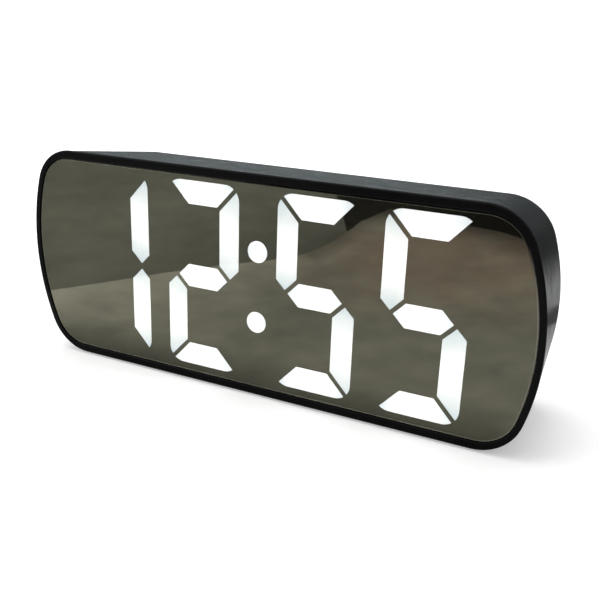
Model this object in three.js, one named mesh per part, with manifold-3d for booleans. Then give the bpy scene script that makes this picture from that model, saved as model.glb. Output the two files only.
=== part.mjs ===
// A mirror-faced digital alarm clock for a bedside table, in millimetres.
// The smoked half-mirror lens sits in a black rim on a tapered housing. Behind it lie a mask
// film with the segment windows, a diffuser, a reflector block and the LED board. The rear
// cover carries the battery pocket with its hinged door, five keys, a power socket and the
// sounder. Four rubber feet hold it on the table. X runs right, Y to the back and Z up.

import * as THREE from "three";
import { mergeVertices } from "three/addons/utils/BufferGeometryUtils.js";
import Module from "manifold-3d";

const wasm = await Module();
wasm.setup();

// Driving dimensions of the case
const FACE_WIDTH = 160;
const FACE_HEIGHT = 64;
const CASE_DEPTH = 36;
const SIDE_RADIUS = 70;
const CORNER_RADIUS = 13.6;
const REAR_SIDE_INSET = 6;
const REAR_TOP_INSET = 6.2;
const REAR_BASE_RISE = 2.2;
const WALL = 1.6;
const FOOT_STAND = 0.6;

// Clearances that several pieces share
const SEAT_GAP = 0.2;
const FILM_GAP = 0.1;
const RUNNING_GAP = 0.35;
const CUT_OVERRUN = 1;
const WELD_DISTANCE = 1e-4;

// Facets of round stretches
const SIDE_STEPS = 8;
const CORNER_STEPS = 5;
const ROUND_SIDES = 16;
const SMALL_SIDES = 10;
const HOLE_SIDES = 8;

// The middle of a barrel outline's upper right corner, and the angle that its side turns through
function barrelCorner(halfWidth, halfHeight, sideRadius, cornerRadius) {
  const reach = sideRadius - cornerRadius;
  const rise = halfHeight - cornerRadius;
  const run = Math.sqrt(reach * reach - rise * rise);
  return { cornerX: halfWidth - sideRadius + run, rise, turn: Math.atan2(rise, run) };
}

// Points of a barrel-shaped outline, anticlockwise from the front, as [x, z] vectors:
// straight top and bottom, bulged sides and round corners.
function barrel(halfWidth, halfHeight, sideRadius, cornerRadius, middleZ = 0) {
  const { cornerX, rise, turn } = barrelCorner(halfWidth, halfHeight, sideRadius, cornerRadius);
  const quarter = [];
  for (let i = 0; i <= SIDE_STEPS / 2; i++) {
    const angle = (turn * 2 * i) / SIDE_STEPS;
    quarter.push([halfWidth - sideRadius + sideRadius * Math.cos(angle), sideRadius * Math.sin(angle)]);
  }
  for (let i = 1; i <= CORNER_STEPS; i++) {
    const angle = turn + ((Math.PI / 2 - turn) * i) / CORNER_STEPS;
    quarter.push([cornerX + cornerRadius * Math.cos(angle), rise + cornerRadius * Math.sin(angle)]);
  }
  const mirrored = quarter.map(([x, z]) => [-x, z]).reverse();
  const upper = [...quarter, ...mirrored];
  const lower = upper.slice(1, -1).map(([x, z]) => [x, -z]).reverse();
  return [...upper, ...lower].map(([x, z]) => new THREE.Vector2(x, z + middleZ));
}

// Points of a polygon whose corners are rounded by the radii given
function rounded(corners, radii, steps = 3) {
  const points = [];
  corners.forEach((corner, i) => {
    const before = corners[(i + corners.length - 1) % corners.length];
    const after = corners[(i + 1) % corners.length];
    if (!radii[i]) {
      points.push(corner.clone());
      return;
    }
    const back = before.clone().sub(corner).normalize();
    const on = after.clone().sub(corner).normalize();
    const half = Math.acos(THREE.MathUtils.clamp(back.dot(on), -1, 1)) / 2;
    const trim = radii[i] / Math.tan(half);
    const middle = back.clone().add(on).normalize().multiplyScalar(radii[i] / Math.sin(half)).add(corner);
    const start = back.multiplyScalar(trim).add(corner).sub(middle);
    const end = on.multiplyScalar(trim).add(corner).sub(middle);
    const sweep = Math.atan2(start.cross(end), start.dot(end));
    for (let k = 0; k <= steps; k++) {
      points.push(start.clone().rotateAround(new THREE.Vector2(), (sweep * k) / steps).add(middle));
    }
  });
  return points;
}

function box2(width, height, radius, x = 0, z = 0) {
  const w = width / 2;
  const h = height / 2;
  const corners = [[w, -h], [w, h], [-w, h], [-w, -h]].map(([a, b]) => new THREE.Vector2(x + a, z + b));
  return rounded(corners, corners.map(() => radius));
}

function circle2(radius, x = 0, z = 0, sides = ROUND_SIDES) {
  return Array.from({ length: sides }, (_, i) => {
    const angle = (2 * Math.PI * i) / sides;
    return new THREE.Vector2(x + radius * Math.cos(angle), z + radius * Math.sin(angle));
  });
}

// A closed body through rings of equal counts, from front to back. Each ring is an outline
// at a depth, or a list of points of its own.
function loft(rings) {
  const count = rings[0].length;
  const positions = rings.flat().flatMap((p) => [p.x, p.y, p.z]);
  const index = [];
  for (let r = 0; r + 1 < rings.length; r++) {
    for (let i = 0; i < count; i++) {
      const [a, b] = [r * count + i, r * count + ((i + 1) % count)];
      index.push(a, a + count, b, b, a + count, b + count);
    }
  }
  const cap = (ring) => THREE.ShapeUtils.triangulateShape(ring.map((p) => new THREE.Vector2(p.x, p.z)), []);
  cap(rings[0]).forEach(([a, b, c]) => index.push(a, b, c));
  const last = (rings.length - 1) * count;
  cap(rings[rings.length - 1]).forEach(([a, b, c]) => index.push(last + a, last + c, last + b));
  const geometry = new THREE.BufferGeometry();
  geometry.setAttribute("position", new THREE.Float32BufferAttribute(positions, 3));
  return geometry.setIndex(index);
}

const ring = (outline, depth) => outline.map((p) => new THREE.Vector3(p.x, depth, p.y));

// A flat plate of one outline between two depths, with holes if any are given
function plate(outline, front, back, holes = []) {
  const shape = new THREE.Shape(outline);
  shape.holes = holes.map((hole) => new THREE.Path(hole));
  const geometry = new THREE.ExtrudeGeometry(shape, { depth: back - front, bevelEnabled: false });
  return geometry.rotateX(Math.PI / 2).translate(0, back, 0);
}

function block(x0, x1, front, back, z0, z1) {
  return new THREE.BoxGeometry(x1 - x0, back - front, z1 - z0)
    .translate((x0 + x1) / 2, (front + back) / 2, (z0 + z1) / 2);
}

function rod(radius, x, z, front, back, sides = ROUND_SIDES) {
  return plate(circle2(radius, x, z, sides), front, back);
}

// A turned body about an axis along Y at (x, z), from a profile of [radius, depth] pairs
function turned(profile, x, z, sides = ROUND_SIDES) {
  const points = profile.map(([radius, depth]) => new THREE.Vector2(radius, depth));
  return new THREE.LatheGeometry(points, sides).translate(x, 0, z);
}

// A round tube through points that start along X or Y. Each ring lies square to the mean of
// the two runs that meet in it, and both ends are flat.
function sweep(points, radius, sides) {
  const tangents = points.map((p, i) => {
    const mean = new THREE.Vector3();
    if (i > 0) mean.add(p.clone().sub(points[i - 1]).normalize());
    if (i + 1 < points.length) mean.add(points[i + 1].clone().sub(p).normalize());
    return mean.normalize();
  });
  const positions = [];
  let across = new THREE.Vector3(0, 0, 1);
  points.forEach((p, i) => {
    across = across.clone().addScaledVector(tangents[i], -across.dot(tangents[i])).normalize();
    const up = tangents[i].clone().cross(across);
    for (const { x, y } of circle2(radius, 0, 0, sides)) {
      positions.push(...p.clone().addScaledVector(across, x).addScaledVector(up, y).toArray());
    }
  });
  const index = [];
  const last = (points.length - 1) * sides;
  for (let k = 0; k < sides; k++) {
    const next = (k + 1) % sides;
    for (let start = 0; start < last; start += sides) {
      const [a, b] = [start + k, start + next];
      index.push(a, b, a + sides, b, b + sides, a + sides);
    }
    if (k > 0 && next > 0) {
      index.push(0, next, k);
      index.push(last, last + k, last + next);
    }
  }
  const geometry = new THREE.BufferGeometry();
  geometry.setAttribute("position", new THREE.Float32BufferAttribute(positions, 3));
  return geometry.setIndex(index);
}

// A slab along X from an outline in depth and height
function slab(outline, x0, x1) {
  const shape = new THREE.Shape(outline);
  const geometry = new THREE.ExtrudeGeometry(shape, { depth: x1 - x0, bevelEnabled: false });
  const turn = new THREE.Matrix4().makeBasis(
    new THREE.Vector3(0, 1, 0), new THREE.Vector3(0, 0, 1), new THREE.Vector3(1, 0, 0));
  return geometry.applyMatrix4(turn).translate(x0, 0, 0);
}

function solid(geometry) {
  const bare = geometry.index ? geometry.toNonIndexed() : geometry.clone();
  bare.deleteAttribute("normal");
  bare.deleteAttribute("uv");
  const merged = mergeVertices(bare, WELD_DISTANCE);
  return new wasm.Manifold(
    new wasm.Mesh({
      numProp: 3,
      vertProperties: merged.attributes.position.array,
      triVerts: new Uint32Array(merged.index.array),
    }),
  );
}

function geometryOf(body) {
  const mesh = body.getMesh();
  const positions = new Float32Array(mesh.numVert * 3);
  for (let i = 0; i < mesh.numVert; i++) {
    positions.set(mesh.vertProperties.subarray(i * mesh.numProp, i * mesh.numProp + 3), i * 3);
  }
  const geometry = new THREE.BufferGeometry();
  geometry.setAttribute("position", new THREE.BufferAttribute(positions, 3));
  return geometry.setIndex(new THREE.BufferAttribute(mesh.triVerts, 1));
}

const join = (...geometries) => geometryOf(geometries.map(solid).reduce((a, b) => a.add(b)));
const cut = (geometry, ...tools) =>
  geometryOf(tools.map(solid).reduce((a, b) => a.subtract(b), solid(geometry)));
const common = (a, b) => geometryOf(solid(a).intersect(solid(b)));

// Finishes
const paint = (color, roughness, metalness = 0, more = {}) =>
  new THREE.MeshStandardMaterial({ color, roughness, metalness, ...more });
const finishes = {
  rimBlack: paint(0x0c0c0d, 0.3),
  caseBlack: paint(0x232427, 0.45),
  coverBlack: paint(0x1b1c1e, 0.55),
  mirror: paint(0x5a584b, 0.06, 0.9, { transparent: true, opacity: 0.6 }),
  maskBlack: paint(0x070707, 0.8),
  diffuser: paint(0xf2f6f6, 0.6, 0, { emissive: 0xf4f8fa, emissiveIntensity: 0.8 }),
  reflectorWhite: paint(0xe9e9e6, 0.6),
  board: paint(0x1d5a34, 0.5),
  chip: paint(0x17181a, 0.5),
  steel: paint(0xb9bcc0, 0.35, 0.9),
  contact: paint(0xd2d3d2, 0.3, 0.95),
  key: paint(0x2b2c2f, 0.6),
  switchBody: paint(0x2a2a2c, 0.6),
  plunger: paint(0xd8d4c8, 0.5),
  cell: paint(0x2f3a44, 0.4, 0.4),
  rubber: paint(0x161616, 0.9),
  redLead: paint(0x9c1f1c, 0.5),
  blackLead: paint(0x18181a, 0.5),
  ribbon: paint(0xb9b7ad, 0.6),
};

// The case is built from the lens front backwards, about the middle of the face
const clock = new THREE.Group();
const body = new THREE.Group();
clock.add(body);

function add(name, geometry, finish) {
  const mesh = new THREE.Mesh(geometry, finish);
  mesh.name = name;
  body.add(mesh);
  return mesh;
}

// Front rim: a flat black frame. Its flange covers the housing's front edge. Its collar sits in
// a rebate behind that edge and carries the lens, the films and the LED board.
const RIM_SIDE = 1.85;
const RIM_TOP = 2.44;
const RIM_CHAMFER = 0.3;
const RIM_BACK = 3.6;
const FLANGE_THICKNESS = 0.8;
const REBATE_WALL = 0.6;
const LENS_CLEARANCE = 0.15;
const LENS_CORNER_RADIUS = 10.9;
const LEDGE_SIDE = 8.1;
const LEDGE_TOP = 0.9;
const WINDOW_CORNER = 3;

function faceOutline(sideInset, topInset, cornerRadius) {
  return barrel(
    FACE_WIDTH / 2 - sideInset, FACE_HEIGHT / 2 - topInset, SIDE_RADIUS - sideInset, cornerRadius);
}

function lensOutline(inset) {
  return faceOutline(RIM_SIDE + inset, RIM_TOP + inset, LENS_CORNER_RADIUS - inset);
}

function windowOutline(inset) {
  return faceOutline(RIM_SIDE + LEDGE_SIDE + inset, RIM_TOP + LEDGE_TOP + inset, WINDOW_CORNER - inset);
}

// The tapered case at a depth, moved in by an inset
function caseOutline(depth, inset = 0) {
  const share = depth / CASE_DEPTH;
  const side = REAR_SIDE_INSET * share + inset;
  const top = FACE_HEIGHT / 2 - REAR_TOP_INSET * share - inset;
  const bottom = -FACE_HEIGHT / 2 + REAR_BASE_RISE * share + inset;
  const corner = CORNER_RADIUS - inset;
  return barrel(FACE_WIDTH / 2 - side, (top - bottom) / 2, SIDE_RADIUS - side, corner, (top + bottom) / 2);
}

// Lens, film and block stack behind the rim
const LENS_RECESS = 0.2;
const LENS_THICKNESS = 1;
const LENS_CHAMFER = 0.35;
const MASK_THICKNESS = 0.2;
const DIFFUSER_THICKNESS = 0.3;
const REFLECTOR_DEPTH = 7;
const BOARD_THICKNESS = 1.2;
const LENS_BACK = LENS_RECESS + LENS_THICKNESS;
const MASK_FRONT = LENS_BACK + FILM_GAP;
const LEDGE_FRONT = MASK_FRONT + MASK_THICKNESS + FILM_GAP;
const REFLECTOR_FRONT = LEDGE_FRONT + DIFFUSER_THICKNESS + FILM_GAP;
const BOARD_FRONT = REFLECTOR_FRONT + REFLECTOR_DEPTH + FILM_GAP;
const BOARD_BACK = BOARD_FRONT + BOARD_THICKNESS;

// Bosses on the rim that carry the LED board
const BOSS_RADIUS = 2.6;
const BOSS_PILOT = 1.05;
const BOSS_FROM_EDGE = 8;
const BOSS_Z = 12;
const bossX = FACE_WIDTH / 2 - BOSS_FROM_EDGE;
const bossPlaces = [[-bossX, BOSS_Z], [bossX, BOSS_Z], [-bossX, -BOSS_Z], [bossX, -BOSS_Z]];

// Tongues at the two ends that locate the rim in the housing
const TONGUE_THICKNESS = 1.2;
const TONGUE_LENGTH = 4;
const TONGUE_HALF_HEIGHT = 8.5;

function rimGeometry() {
  const flange = loft([
    ring(faceOutline(RIM_CHAMFER, RIM_CHAMFER, CORNER_RADIUS - RIM_CHAMFER), 0),
    ring(faceOutline(0, 0, CORNER_RADIUS), RIM_CHAMFER),
    ring(faceOutline(0, 0, CORNER_RADIUS), FLANGE_THICKNESS),
  ]);
  const collarInset = REBATE_WALL + SEAT_GAP;
  const collar = loft([
    ring(caseOutline(RIM_CHAMFER, collarInset), RIM_CHAMFER),
    ring(caseOutline(RIM_BACK, collarInset), RIM_BACK),
  ]);
  const seat = plate(lensOutline(-LENS_CLEARANCE), -CUT_OVERRUN, LEDGE_FRONT);
  const window = plate(windowOutline(0), 0, RIM_BACK + CUT_OVERRUN);
  const frame = cut(join(flange, collar), seat, window);
  const tongueStart = RIM_BACK - CUT_OVERRUN;
  const tongueEnd = RIM_BACK + TONGUE_LENGTH;
  const sleeve = (inset, overrun) => loft([
    ring(caseOutline(tongueStart - overrun, inset), tongueStart - overrun),
    ring(caseOutline(tongueEnd + overrun, inset), tongueEnd + overrun),
  ]);
  const band = cut(sleeve(WALL + SEAT_GAP, 0), sleeve(WALL + SEAT_GAP + TONGUE_THICKNESS, CUT_OVERRUN));
  const tongues = common(band, block(
    -FACE_WIDTH, FACE_WIDTH, tongueStart, tongueEnd, -TONGUE_HALF_HEIGHT, TONGUE_HALF_HEIGHT));
  const bosses = bossPlaces.map(([x, z]) =>
    rod(BOSS_RADIUS, x, z, RIM_BACK - CUT_OVERRUN, BOARD_FRONT - FILM_GAP, SMALL_SIDES));
  const pilots = bossPlaces.map(([x, z]) =>
    rod(BOSS_PILOT, x, z, RIM_BACK, BOARD_FRONT + CUT_OVERRUN, SMALL_SIDES));
  return cut(join(frame, tongues, ...bosses), ...pilots);
}
add("front_rim", rimGeometry(), finishes.rimBlack);

// Front lens: smoked half-mirror acrylic with a fine chamfer, sunk a hair into the rim
add("front_lens", loft([
  ring(lensOutline(LENS_CHAMFER), LENS_RECESS),
  ring(lensOutline(0), LENS_RECESS + LENS_CHAMFER),
  ring(lensOutline(0), LENS_BACK),
]), finishes.mirror);

// Seven-segment figures, which fill the rim's window. Each digit leans a little.
const FIGURE_SIDE_MARGIN = 0.24;
const FIGURE_TOP_MARGIN = 0.96;
const DIGIT_SPACE = 7.08;
const COLON_SPACE = 12.06;
const STROKE_SIDE = 6.3;
const STROKE_LEVEL = 6.7;
const SEGMENT_GAP = 1.25;
const DIGIT_CORNER = 4.6;
const DOT_RADIUS = 3.1;
const DOT_Z = 10.3;
const WAIST_TIP_Z = 0.85;
const tipShare = 0.56;
const leanShare = 0.045;
const cornerSteps = 4;

const windowSide = RIM_SIDE + LEDGE_SIDE;
const windowHalfHeight = FACE_HEIGHT / 2 - RIM_TOP - LEDGE_TOP;
const windowTopEnd = barrelCorner(
  FACE_WIDTH / 2 - windowSide, windowHalfHeight, SIDE_RADIUS - windowSide, WINDOW_CORNER).cornerX;
const digitHeight = 2 * (windowHalfHeight - FIGURE_TOP_MARGIN);
const digitWidth = (2 * (windowTopEnd - FIGURE_SIDE_MARGIN) - COLON_SPACE - 2 * DIGIT_SPACE) / 4;
const innerDigitX = (COLON_SPACE + digitWidth) / 2;
const outerDigitX = innerDigitX + digitWidth + DIGIT_SPACE;
const digitPlaces = [-outerDigitX, -innerDigitX, innerDigitX, outerDigitX];

// The seven segments of one digit about its own middle, as [x, z] outlines
function segmentOutlines() {
  const a = digitWidth / 2;
  const b = digitHeight / 2;
  const innerX = a - STROKE_SIDE;
  const innerZ = b - STROKE_LEVEL;
  const mitre = Math.hypot(STROKE_SIDE, STROKE_LEVEL);
  const shiftX = ((SEGMENT_GAP / 2) * mitre) / STROKE_LEVEL;
  const shiftZ = ((SEGMENT_GAP / 2) * mitre) / STROKE_SIDE;
  const tipX = innerX + STROKE_SIDE * tipShare;
  const barTipX = tipX + WAIST_TIP_Z - SEGMENT_GAP * Math.SQRT2;
  const half = STROKE_LEVEL / 2;
  // Angle from the upright at which a mitred edge meets the arc of the digit's outer corner
  const meeting = ([x, z]) => {
    const edge = new THREE.Vector2(STROKE_SIDE / mitre, STROKE_LEVEL / mitre);
    const start = new THREE.Vector2(x - a + DIGIT_CORNER, z - b + DIGIT_CORNER);
    const reach = Math.sqrt(DIGIT_CORNER ** 2 - start.cross(edge) ** 2) - start.dot(edge);
    const end = start.addScaledVector(edge, reach);
    return Math.atan2(end.x, end.y);
  };
  const cornerArc = (from, to) => Array.from({ length: cornerSteps + 1 }, (_, i) => {
    const angle = from + ((to - from) * i) / cornerSteps;
    return [a + DIGIT_CORNER * (Math.sin(angle) - 1), b + DIGIT_CORNER * (Math.cos(angle) - 1)];
  });
  const topCorner = cornerArc(meeting([innerX - shiftX, innerZ]), 0);
  const top = [
    [innerX - shiftX, innerZ], ...topCorner, ...topCorner.map(([x, z]) => [-x, z]).reverse(),
    [-innerX + shiftX, innerZ],
  ];
  const upperRight = [
    [innerX, WAIST_TIP_Z + tipX - innerX], [tipX, WAIST_TIP_Z], [a, WAIST_TIP_Z + a - tipX],
    ...cornerArc(Math.PI / 2, meeting([innerX, innerZ - shiftZ])), [innerX, innerZ - shiftZ],
  ];
  const bar = [
    [barTipX, 0], [barTipX - half, half], [-barTipX + half, half],
    [-barTipX, 0], [-barTipX + half, -half], [barTipX - half, -half],
  ];
  const flipped = (corners, sx, sz) => {
    const moved = corners.map(([x, z]) => new THREE.Vector2(sx * x, sz * z));
    return sx * sz < 0 ? moved.reverse() : moved;
  };
  return [
    flipped(top, 1, 1), flipped(upperRight, 1, 1), flipped(upperRight, 1, -1), flipped(top, 1, -1),
    flipped(upperRight, -1, -1), flipped(upperRight, -1, 1), flipped(bar, 1, 1),
  ];
}

function leaning(outline, x) {
  return outline.map((p) => new THREE.Vector2(x + p.x + leanShare * p.y, p.y));
}

const colonDots = [DOT_Z, -DOT_Z].map((z) => leaning(circle2(DOT_RADIUS, 0, z, SMALL_SIDES), 0));
const segmentWindows = [
  ...digitPlaces.flatMap((x) => segmentOutlines().map((outline) => leaning(outline, x))),
  ...colonDots,
];

// Mask film behind the lens, black but for the segment windows
const MASK_INSET = 0.4;
add("segment_mask", plate(lensOutline(MASK_INSET), MASK_FRONT, MASK_FRONT + MASK_THICKNESS, segmentWindows),
  finishes.maskBlack);

// Diffuser film and the white reflector block with one light well for each window
const BLOCK_INSET = 0.3;
add("diffuser_film", plate(windowOutline(BLOCK_INSET), LEDGE_FRONT, LEDGE_FRONT + DIFFUSER_THICKNESS),
  finishes.diffuser);
add("reflector_block", plate(windowOutline(BLOCK_INSET), REFLECTOR_FRONT,
  REFLECTOR_FRONT + REFLECTOR_DEPTH, segmentWindows), finishes.reflectorWhite);

// LED board: one light in each well, and screw holes over the rim's bosses
const BOARD_SIDE_INSET = 5.4;
const BOARD_TOP_INSET = 4.4;
const BOARD_CORNER = 6;
const LED_LONG = 2.8;
const LED_SHORT = 1.6;
const LED_HEIGHT = 0.8;
const SCREW_SHANK = 0.85;
const SCREW_HOLE = 1.3;
const SCREW_HEAD = 2.2;
const SCREW_HEAD_HEIGHT = 1.4;

function middleOf(outline) {
  const bounds = new THREE.Box2().setFromPoints(outline);
  return bounds.getCenter(new THREE.Vector2());
}

function ledBoardGeometry() {
  const outline = faceOutline(BOARD_SIDE_INSET, BOARD_TOP_INSET, BOARD_CORNER);
  const holes = bossPlaces.map(([x, z]) => circle2(SCREW_HOLE, x, z, SMALL_SIDES));
  const board = plate(outline, BOARD_FRONT, BOARD_BACK, holes);
  const lights = segmentWindows.map((window) => {
    const { x, y: z } = middleOf(window);
    return block(x - LED_LONG / 2, x + LED_LONG / 2, BOARD_FRONT - LED_HEIGHT, BOARD_FRONT + FILM_GAP,
      z - LED_SHORT / 2, z + LED_SHORT / 2);
  });
  return join(board, ...lights);
}
add("led_board", ledBoardGeometry(), finishes.board);

// Small screws: a round head with a cross slot, its point towards lower or higher depth
const SLOT_WIDTH = 0.6;
const slotDepthShare = 0.5;
const slotReachShare = 0.7;
const pointShare = 0.5;

// A screw from the underside of its head. towards is 1 if the point goes back, -1 if forward.
function screwGeometry(x, z, headUnder, towards, length, shank, head, headHeight) {
  const at = (distance) => headUnder + towards * distance;
  const profile = [
    [0, at(length)], [shank * pointShare, at(length)], [shank, at(length - shank)], [shank, at(0)],
    [head, at(0)], [head, at(-headHeight / 2)], [head * slotReachShare, at(-headHeight)],
    [0, at(-headHeight)],
  ];
  const bodyGeometry = turned(towards > 0 ? profile.reverse() : profile, x, z, SMALL_SIDES);
  const reach = head * slotReachShare;
  const floor = at(-headHeight * (1 - slotDepthShare));
  const over = at(-headHeight - CUT_OVERRUN);
  const [front, back] = [Math.min(floor, over), Math.max(floor, over)];
  const w = SLOT_WIDTH / 2;
  const across = block(x - reach, x + reach, front, back, z - w, z + w);
  const up = block(x - w, x + w, front, back, z - reach, z + reach);
  return cut(bodyGeometry, across, up);
}

const BOARD_SCREW_LENGTH = 5;
bossPlaces.forEach(([x, z], i) => add(`board_screw_${i + 1}`, screwGeometry(
  x, z, BOARD_BACK + FILM_GAP, -1, BOARD_SCREW_LENGTH, SCREW_SHANK, SCREW_HEAD, SCREW_HEAD_HEIGHT),
finishes.steel));

// Clock chip and crystal on the back of the LED board
const CHIP_SIZE = 10;
const CHIP_HEIGHT = 1.5;
const CHIP_Z = 8;
const CRYSTAL_LENGTH = 8;
const CRYSTAL_WIDTH = 3.4;
const CRYSTAL_HEIGHT = 2.4;
const CRYSTAL_FROM_CHIP = 12;
add("clock_chip", plate(box2(CHIP_SIZE, CHIP_SIZE, 0, 0, CHIP_Z), BOARD_BACK + FILM_GAP,
  BOARD_BACK + FILM_GAP + CHIP_HEIGHT), finishes.chip);
add("crystal_can", plate(box2(CRYSTAL_WIDTH, CRYSTAL_LENGTH, CRYSTAL_WIDTH / 3, CRYSTAL_FROM_CHIP, CHIP_Z),
  BOARD_BACK + FILM_GAP, BOARD_BACK + FILM_GAP + CRYSTAL_HEIGHT), finishes.steel);

// Rear cover and its screws
const COVER_THICKNESS = 2;
const COVER_EDGE_RADIUS = 1;
const COVER_SEAM = 0.3;
const LIP_DEPTH = 1.6;
const LIP_THICKNESS = 1.2;
const POST_RADIUS = 3.2;
const POST_PILOT = 1.5;
const POST_LENGTH = 9;
const POST_FROM_SIDE = 13;
const POST_FROM_TOP = 7.2;
const POST_FROM_BOTTOM = 7.6;
const TOWER_RADIUS = 4.3;
const TOWER_BORE = 3.3;
const TOWER_HEIGHT = 4.3;
const TOWER_FLOOR = 1.4;
const COVER_SCREW_SHANK = 1.25;
const COVER_SCREW_HEAD = 2.8;
const COVER_SCREW_HEAD_HEIGHT = 1.9;
const COVER_SCREW_LENGTH = 8;
const RIB_THICKNESS = 1.6;

const coverFront = CASE_DEPTH - COVER_THICKNESS;
const housingFront = FLANGE_THICKNESS + FILM_GAP;
const housingBack = coverFront - COVER_SEAM;
const rearTop = FACE_HEIGHT / 2 - REAR_TOP_INSET;
const rearBottom = -FACE_HEIGHT / 2 + REAR_BASE_RISE;
const rearMiddle = (rearTop + rearBottom) / 2;
const towerFront = CASE_DEPTH - TOWER_HEIGHT;
const postBack = towerFront - SEAT_GAP;
const postX = FACE_WIDTH / 2 - REAR_SIDE_INSET - POST_FROM_SIDE;
const postPlaces = [
  [-postX, rearTop - POST_FROM_TOP], [postX, rearTop - POST_FROM_TOP],
  [-postX, rearBottom + POST_FROM_BOTTOM], [postX, rearBottom + POST_FROM_BOTTOM],
];

// Housing: a tapered sleeve with a rebate for the rim's collar at its front, and four screw
// posts that ribs tie to the wall
function housingGeometry() {
  const sleeve = (inset, overrun, back = housingBack + overrun) => loft([
    ring(caseOutline(housingFront - overrun, inset), housingFront - overrun),
    ring(caseOutline(back, inset), back),
  ]);
  const posts = postPlaces.map(([x, z]) =>
    rod(POST_RADIUS, x, z, postBack - POST_LENGTH, postBack, SMALL_SIDES));
  const ribs = postPlaces.map(([x, z]) => {
    const wallZ = z > rearMiddle ? FACE_HEIGHT / 2 : -FACE_HEIGHT / 2;
    return block(x - RIB_THICKNESS / 2, x + RIB_THICKNESS / 2, postBack - POST_LENGTH, postBack,
      Math.min(z, wallZ), Math.max(z, wallZ));
  });
  const inside = common(join(...posts, ...ribs), sleeve(WALL / 2, 0));
  const pilots = postPlaces.map(([x, z]) =>
    rod(POST_PILOT, x, z, postBack - COVER_SCREW_LENGTH, postBack + CUT_OVERRUN, SMALL_SIDES));
  const rebate = sleeve(REBATE_WALL, CUT_OVERRUN, RIM_BACK + SEAT_GAP);
  const shell = cut(sleeve(0, 0), sleeve(WALL, CUT_OVERRUN), rebate);
  return cut(join(shell, inside), ...pilots);
}

add("housing", housingGeometry(), finishes.caseBlack);

// Battery pocket for three AAA cells, side by side and lying along X
const CELL_RADIUS = 5.25;
const CELL_BODY = 43.4;
const CELL_NUB_RADIUS = 1.9;
const CELL_NUB_LENGTH = 0.9;
const CELL_EDGE = 0.5;
const CELL_PITCH = 11.2;
const CELL_COUNT = 3;
const CELL_CLEARANCE = 0.7;
const CELL_FLOOR_GAP = 0.4;
const POCKET_X = 11;
const POCKET_LENGTH = 51;
const POCKET_WALL = 2.4;
const POCKET_FLOOR = 1.5;
const POCKET_CORNER = 1.5;
const DOOR_THICKNESS = 1.5;
const DOOR_LAP = 1.2;
const DOOR_GAP = 0.3;
const DOOR_CORNER = 2.5;
const CRADLE_RIB = 0.8;
const CRADLE_HEIGHT = 2.4;

const pocketHeight = (CELL_COUNT - 1) * CELL_PITCH + 2 * (CELL_RADIUS + CELL_CLEARANCE);
const doorFront = CASE_DEPTH - DOOR_THICKNESS;
const cellDepth = doorFront - CELL_CLEARANCE - CELL_RADIUS;
const pocketFloor = cellDepth - CELL_RADIUS - CELL_FLOOR_GAP;
const doorWidth = POCKET_LENGTH + 2 * DOOR_LAP;
const doorHeight = pocketHeight + 2 * DOOR_LAP;
const doorLow = rearMiddle - doorHeight / 2;
const doorHigh = rearMiddle + doorHeight / 2;
const cellZ = (row) => rearMiddle + ((CELL_COUNT - 1) / 2 - row) * CELL_PITCH;

// Door hinge tabs under the cover's skin, and the latch opposite
const TAB_WIDTH = 6;
const TAB_REACH = 1.8;
const TAB_THICKNESS = 1;
const TAB_SKIN = 1.1;
const TAB_SPREAD = 17;
const TAB_ROOM = 3.2;
const LATCH_WIDTH = 12;
const LATCH_SLIT = 0.8;
const LATCH_SLIT_LENGTH = 7;
const LATCH_LEG = 2.4;
const LATCH_LEG_THICKNESS = 1;
const FINGER_RADIUS = 6;
const FINGER_DEPTH = 1.1;
const GRIP_GROOVE = 0.6;
const GRIP_DEPTH = 0.35;
const GRIP_COUNT = 3;
const GRIP_PITCH = 1.6;
const GRIP_LENGTH = 9;
const TAB_ROOT = 1.5;
const TAB_CLEARANCE = 0.4;
const JOIN_LAP = 0.4;
const tabPlaces = [POCKET_X - TAB_SPREAD, POCKET_X + TAB_SPREAD];

// Keys and their board, on the side that is on the right from behind
const KEY_TRAVEL = 0.6;
const KEY_PROUD = 0.8;
const KEY_FLANGE = 1;
const KEY_FLANGE_LAP = 0.9;
const KEY_ROUND_RADIUS = 3.7;
const SNOOZE_LENGTH = 19;
const SNOOZE_HEIGHT = 6.8;
const KEY_STEM_RADIUS = 1.6;
const KEY_EDGE = 0.5;
const SWITCH_SIZE = 6;
const SWITCH_HEIGHT = 3.4;
const SWITCH_EDGE = 0.5;
const PLUNGER_RADIUS = 1.7;
const PLUNGER_PROUD = 1;
const PLUNGER_SUNK = 0.8;
const KEY_BOARD_WIDTH = 25;
const KEY_BOARD_MARGIN = 3.7;
const KEY_BOARD_CORNER = 1.5;
const KEY_BOARD_FROM_POCKET = 1.1;
const KEY_BOARD_FROM_COVER = 7.2;
const KEY_SPREAD = 6.5;
const KEY_POST_RADIUS = 2.4;
const KEY_POST_FROM_EDGE = 3.1;
const KEY_SCREW_LENGTH = 5.5;
const SOCKET_WIDTH = 9;
const SOCKET_HEIGHT = 3.3;

const keyBoardBack = coverFront - KEY_BOARD_FROM_COVER;
const keyBoardFront = keyBoardBack - BOARD_THICKNESS;
const switchBack = keyBoardBack + FILM_GAP + SWITCH_HEIGHT;
const plungerBack = switchBack + PLUNGER_PROUD;
const keyStemFront = plungerBack + FILM_GAP;
const keyFlangeBack = coverFront - FILM_GAP;
const keyBlockX = POCKET_X - POCKET_LENGTH / 2 - POCKET_WALL - KEY_BOARD_FROM_POCKET - KEY_BOARD_WIDTH / 2;
const keyBoardHigh = rearTop - KEY_BOARD_MARGIN;
const keyBoardLow = rearBottom + KEY_BOARD_MARGIN;

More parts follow.
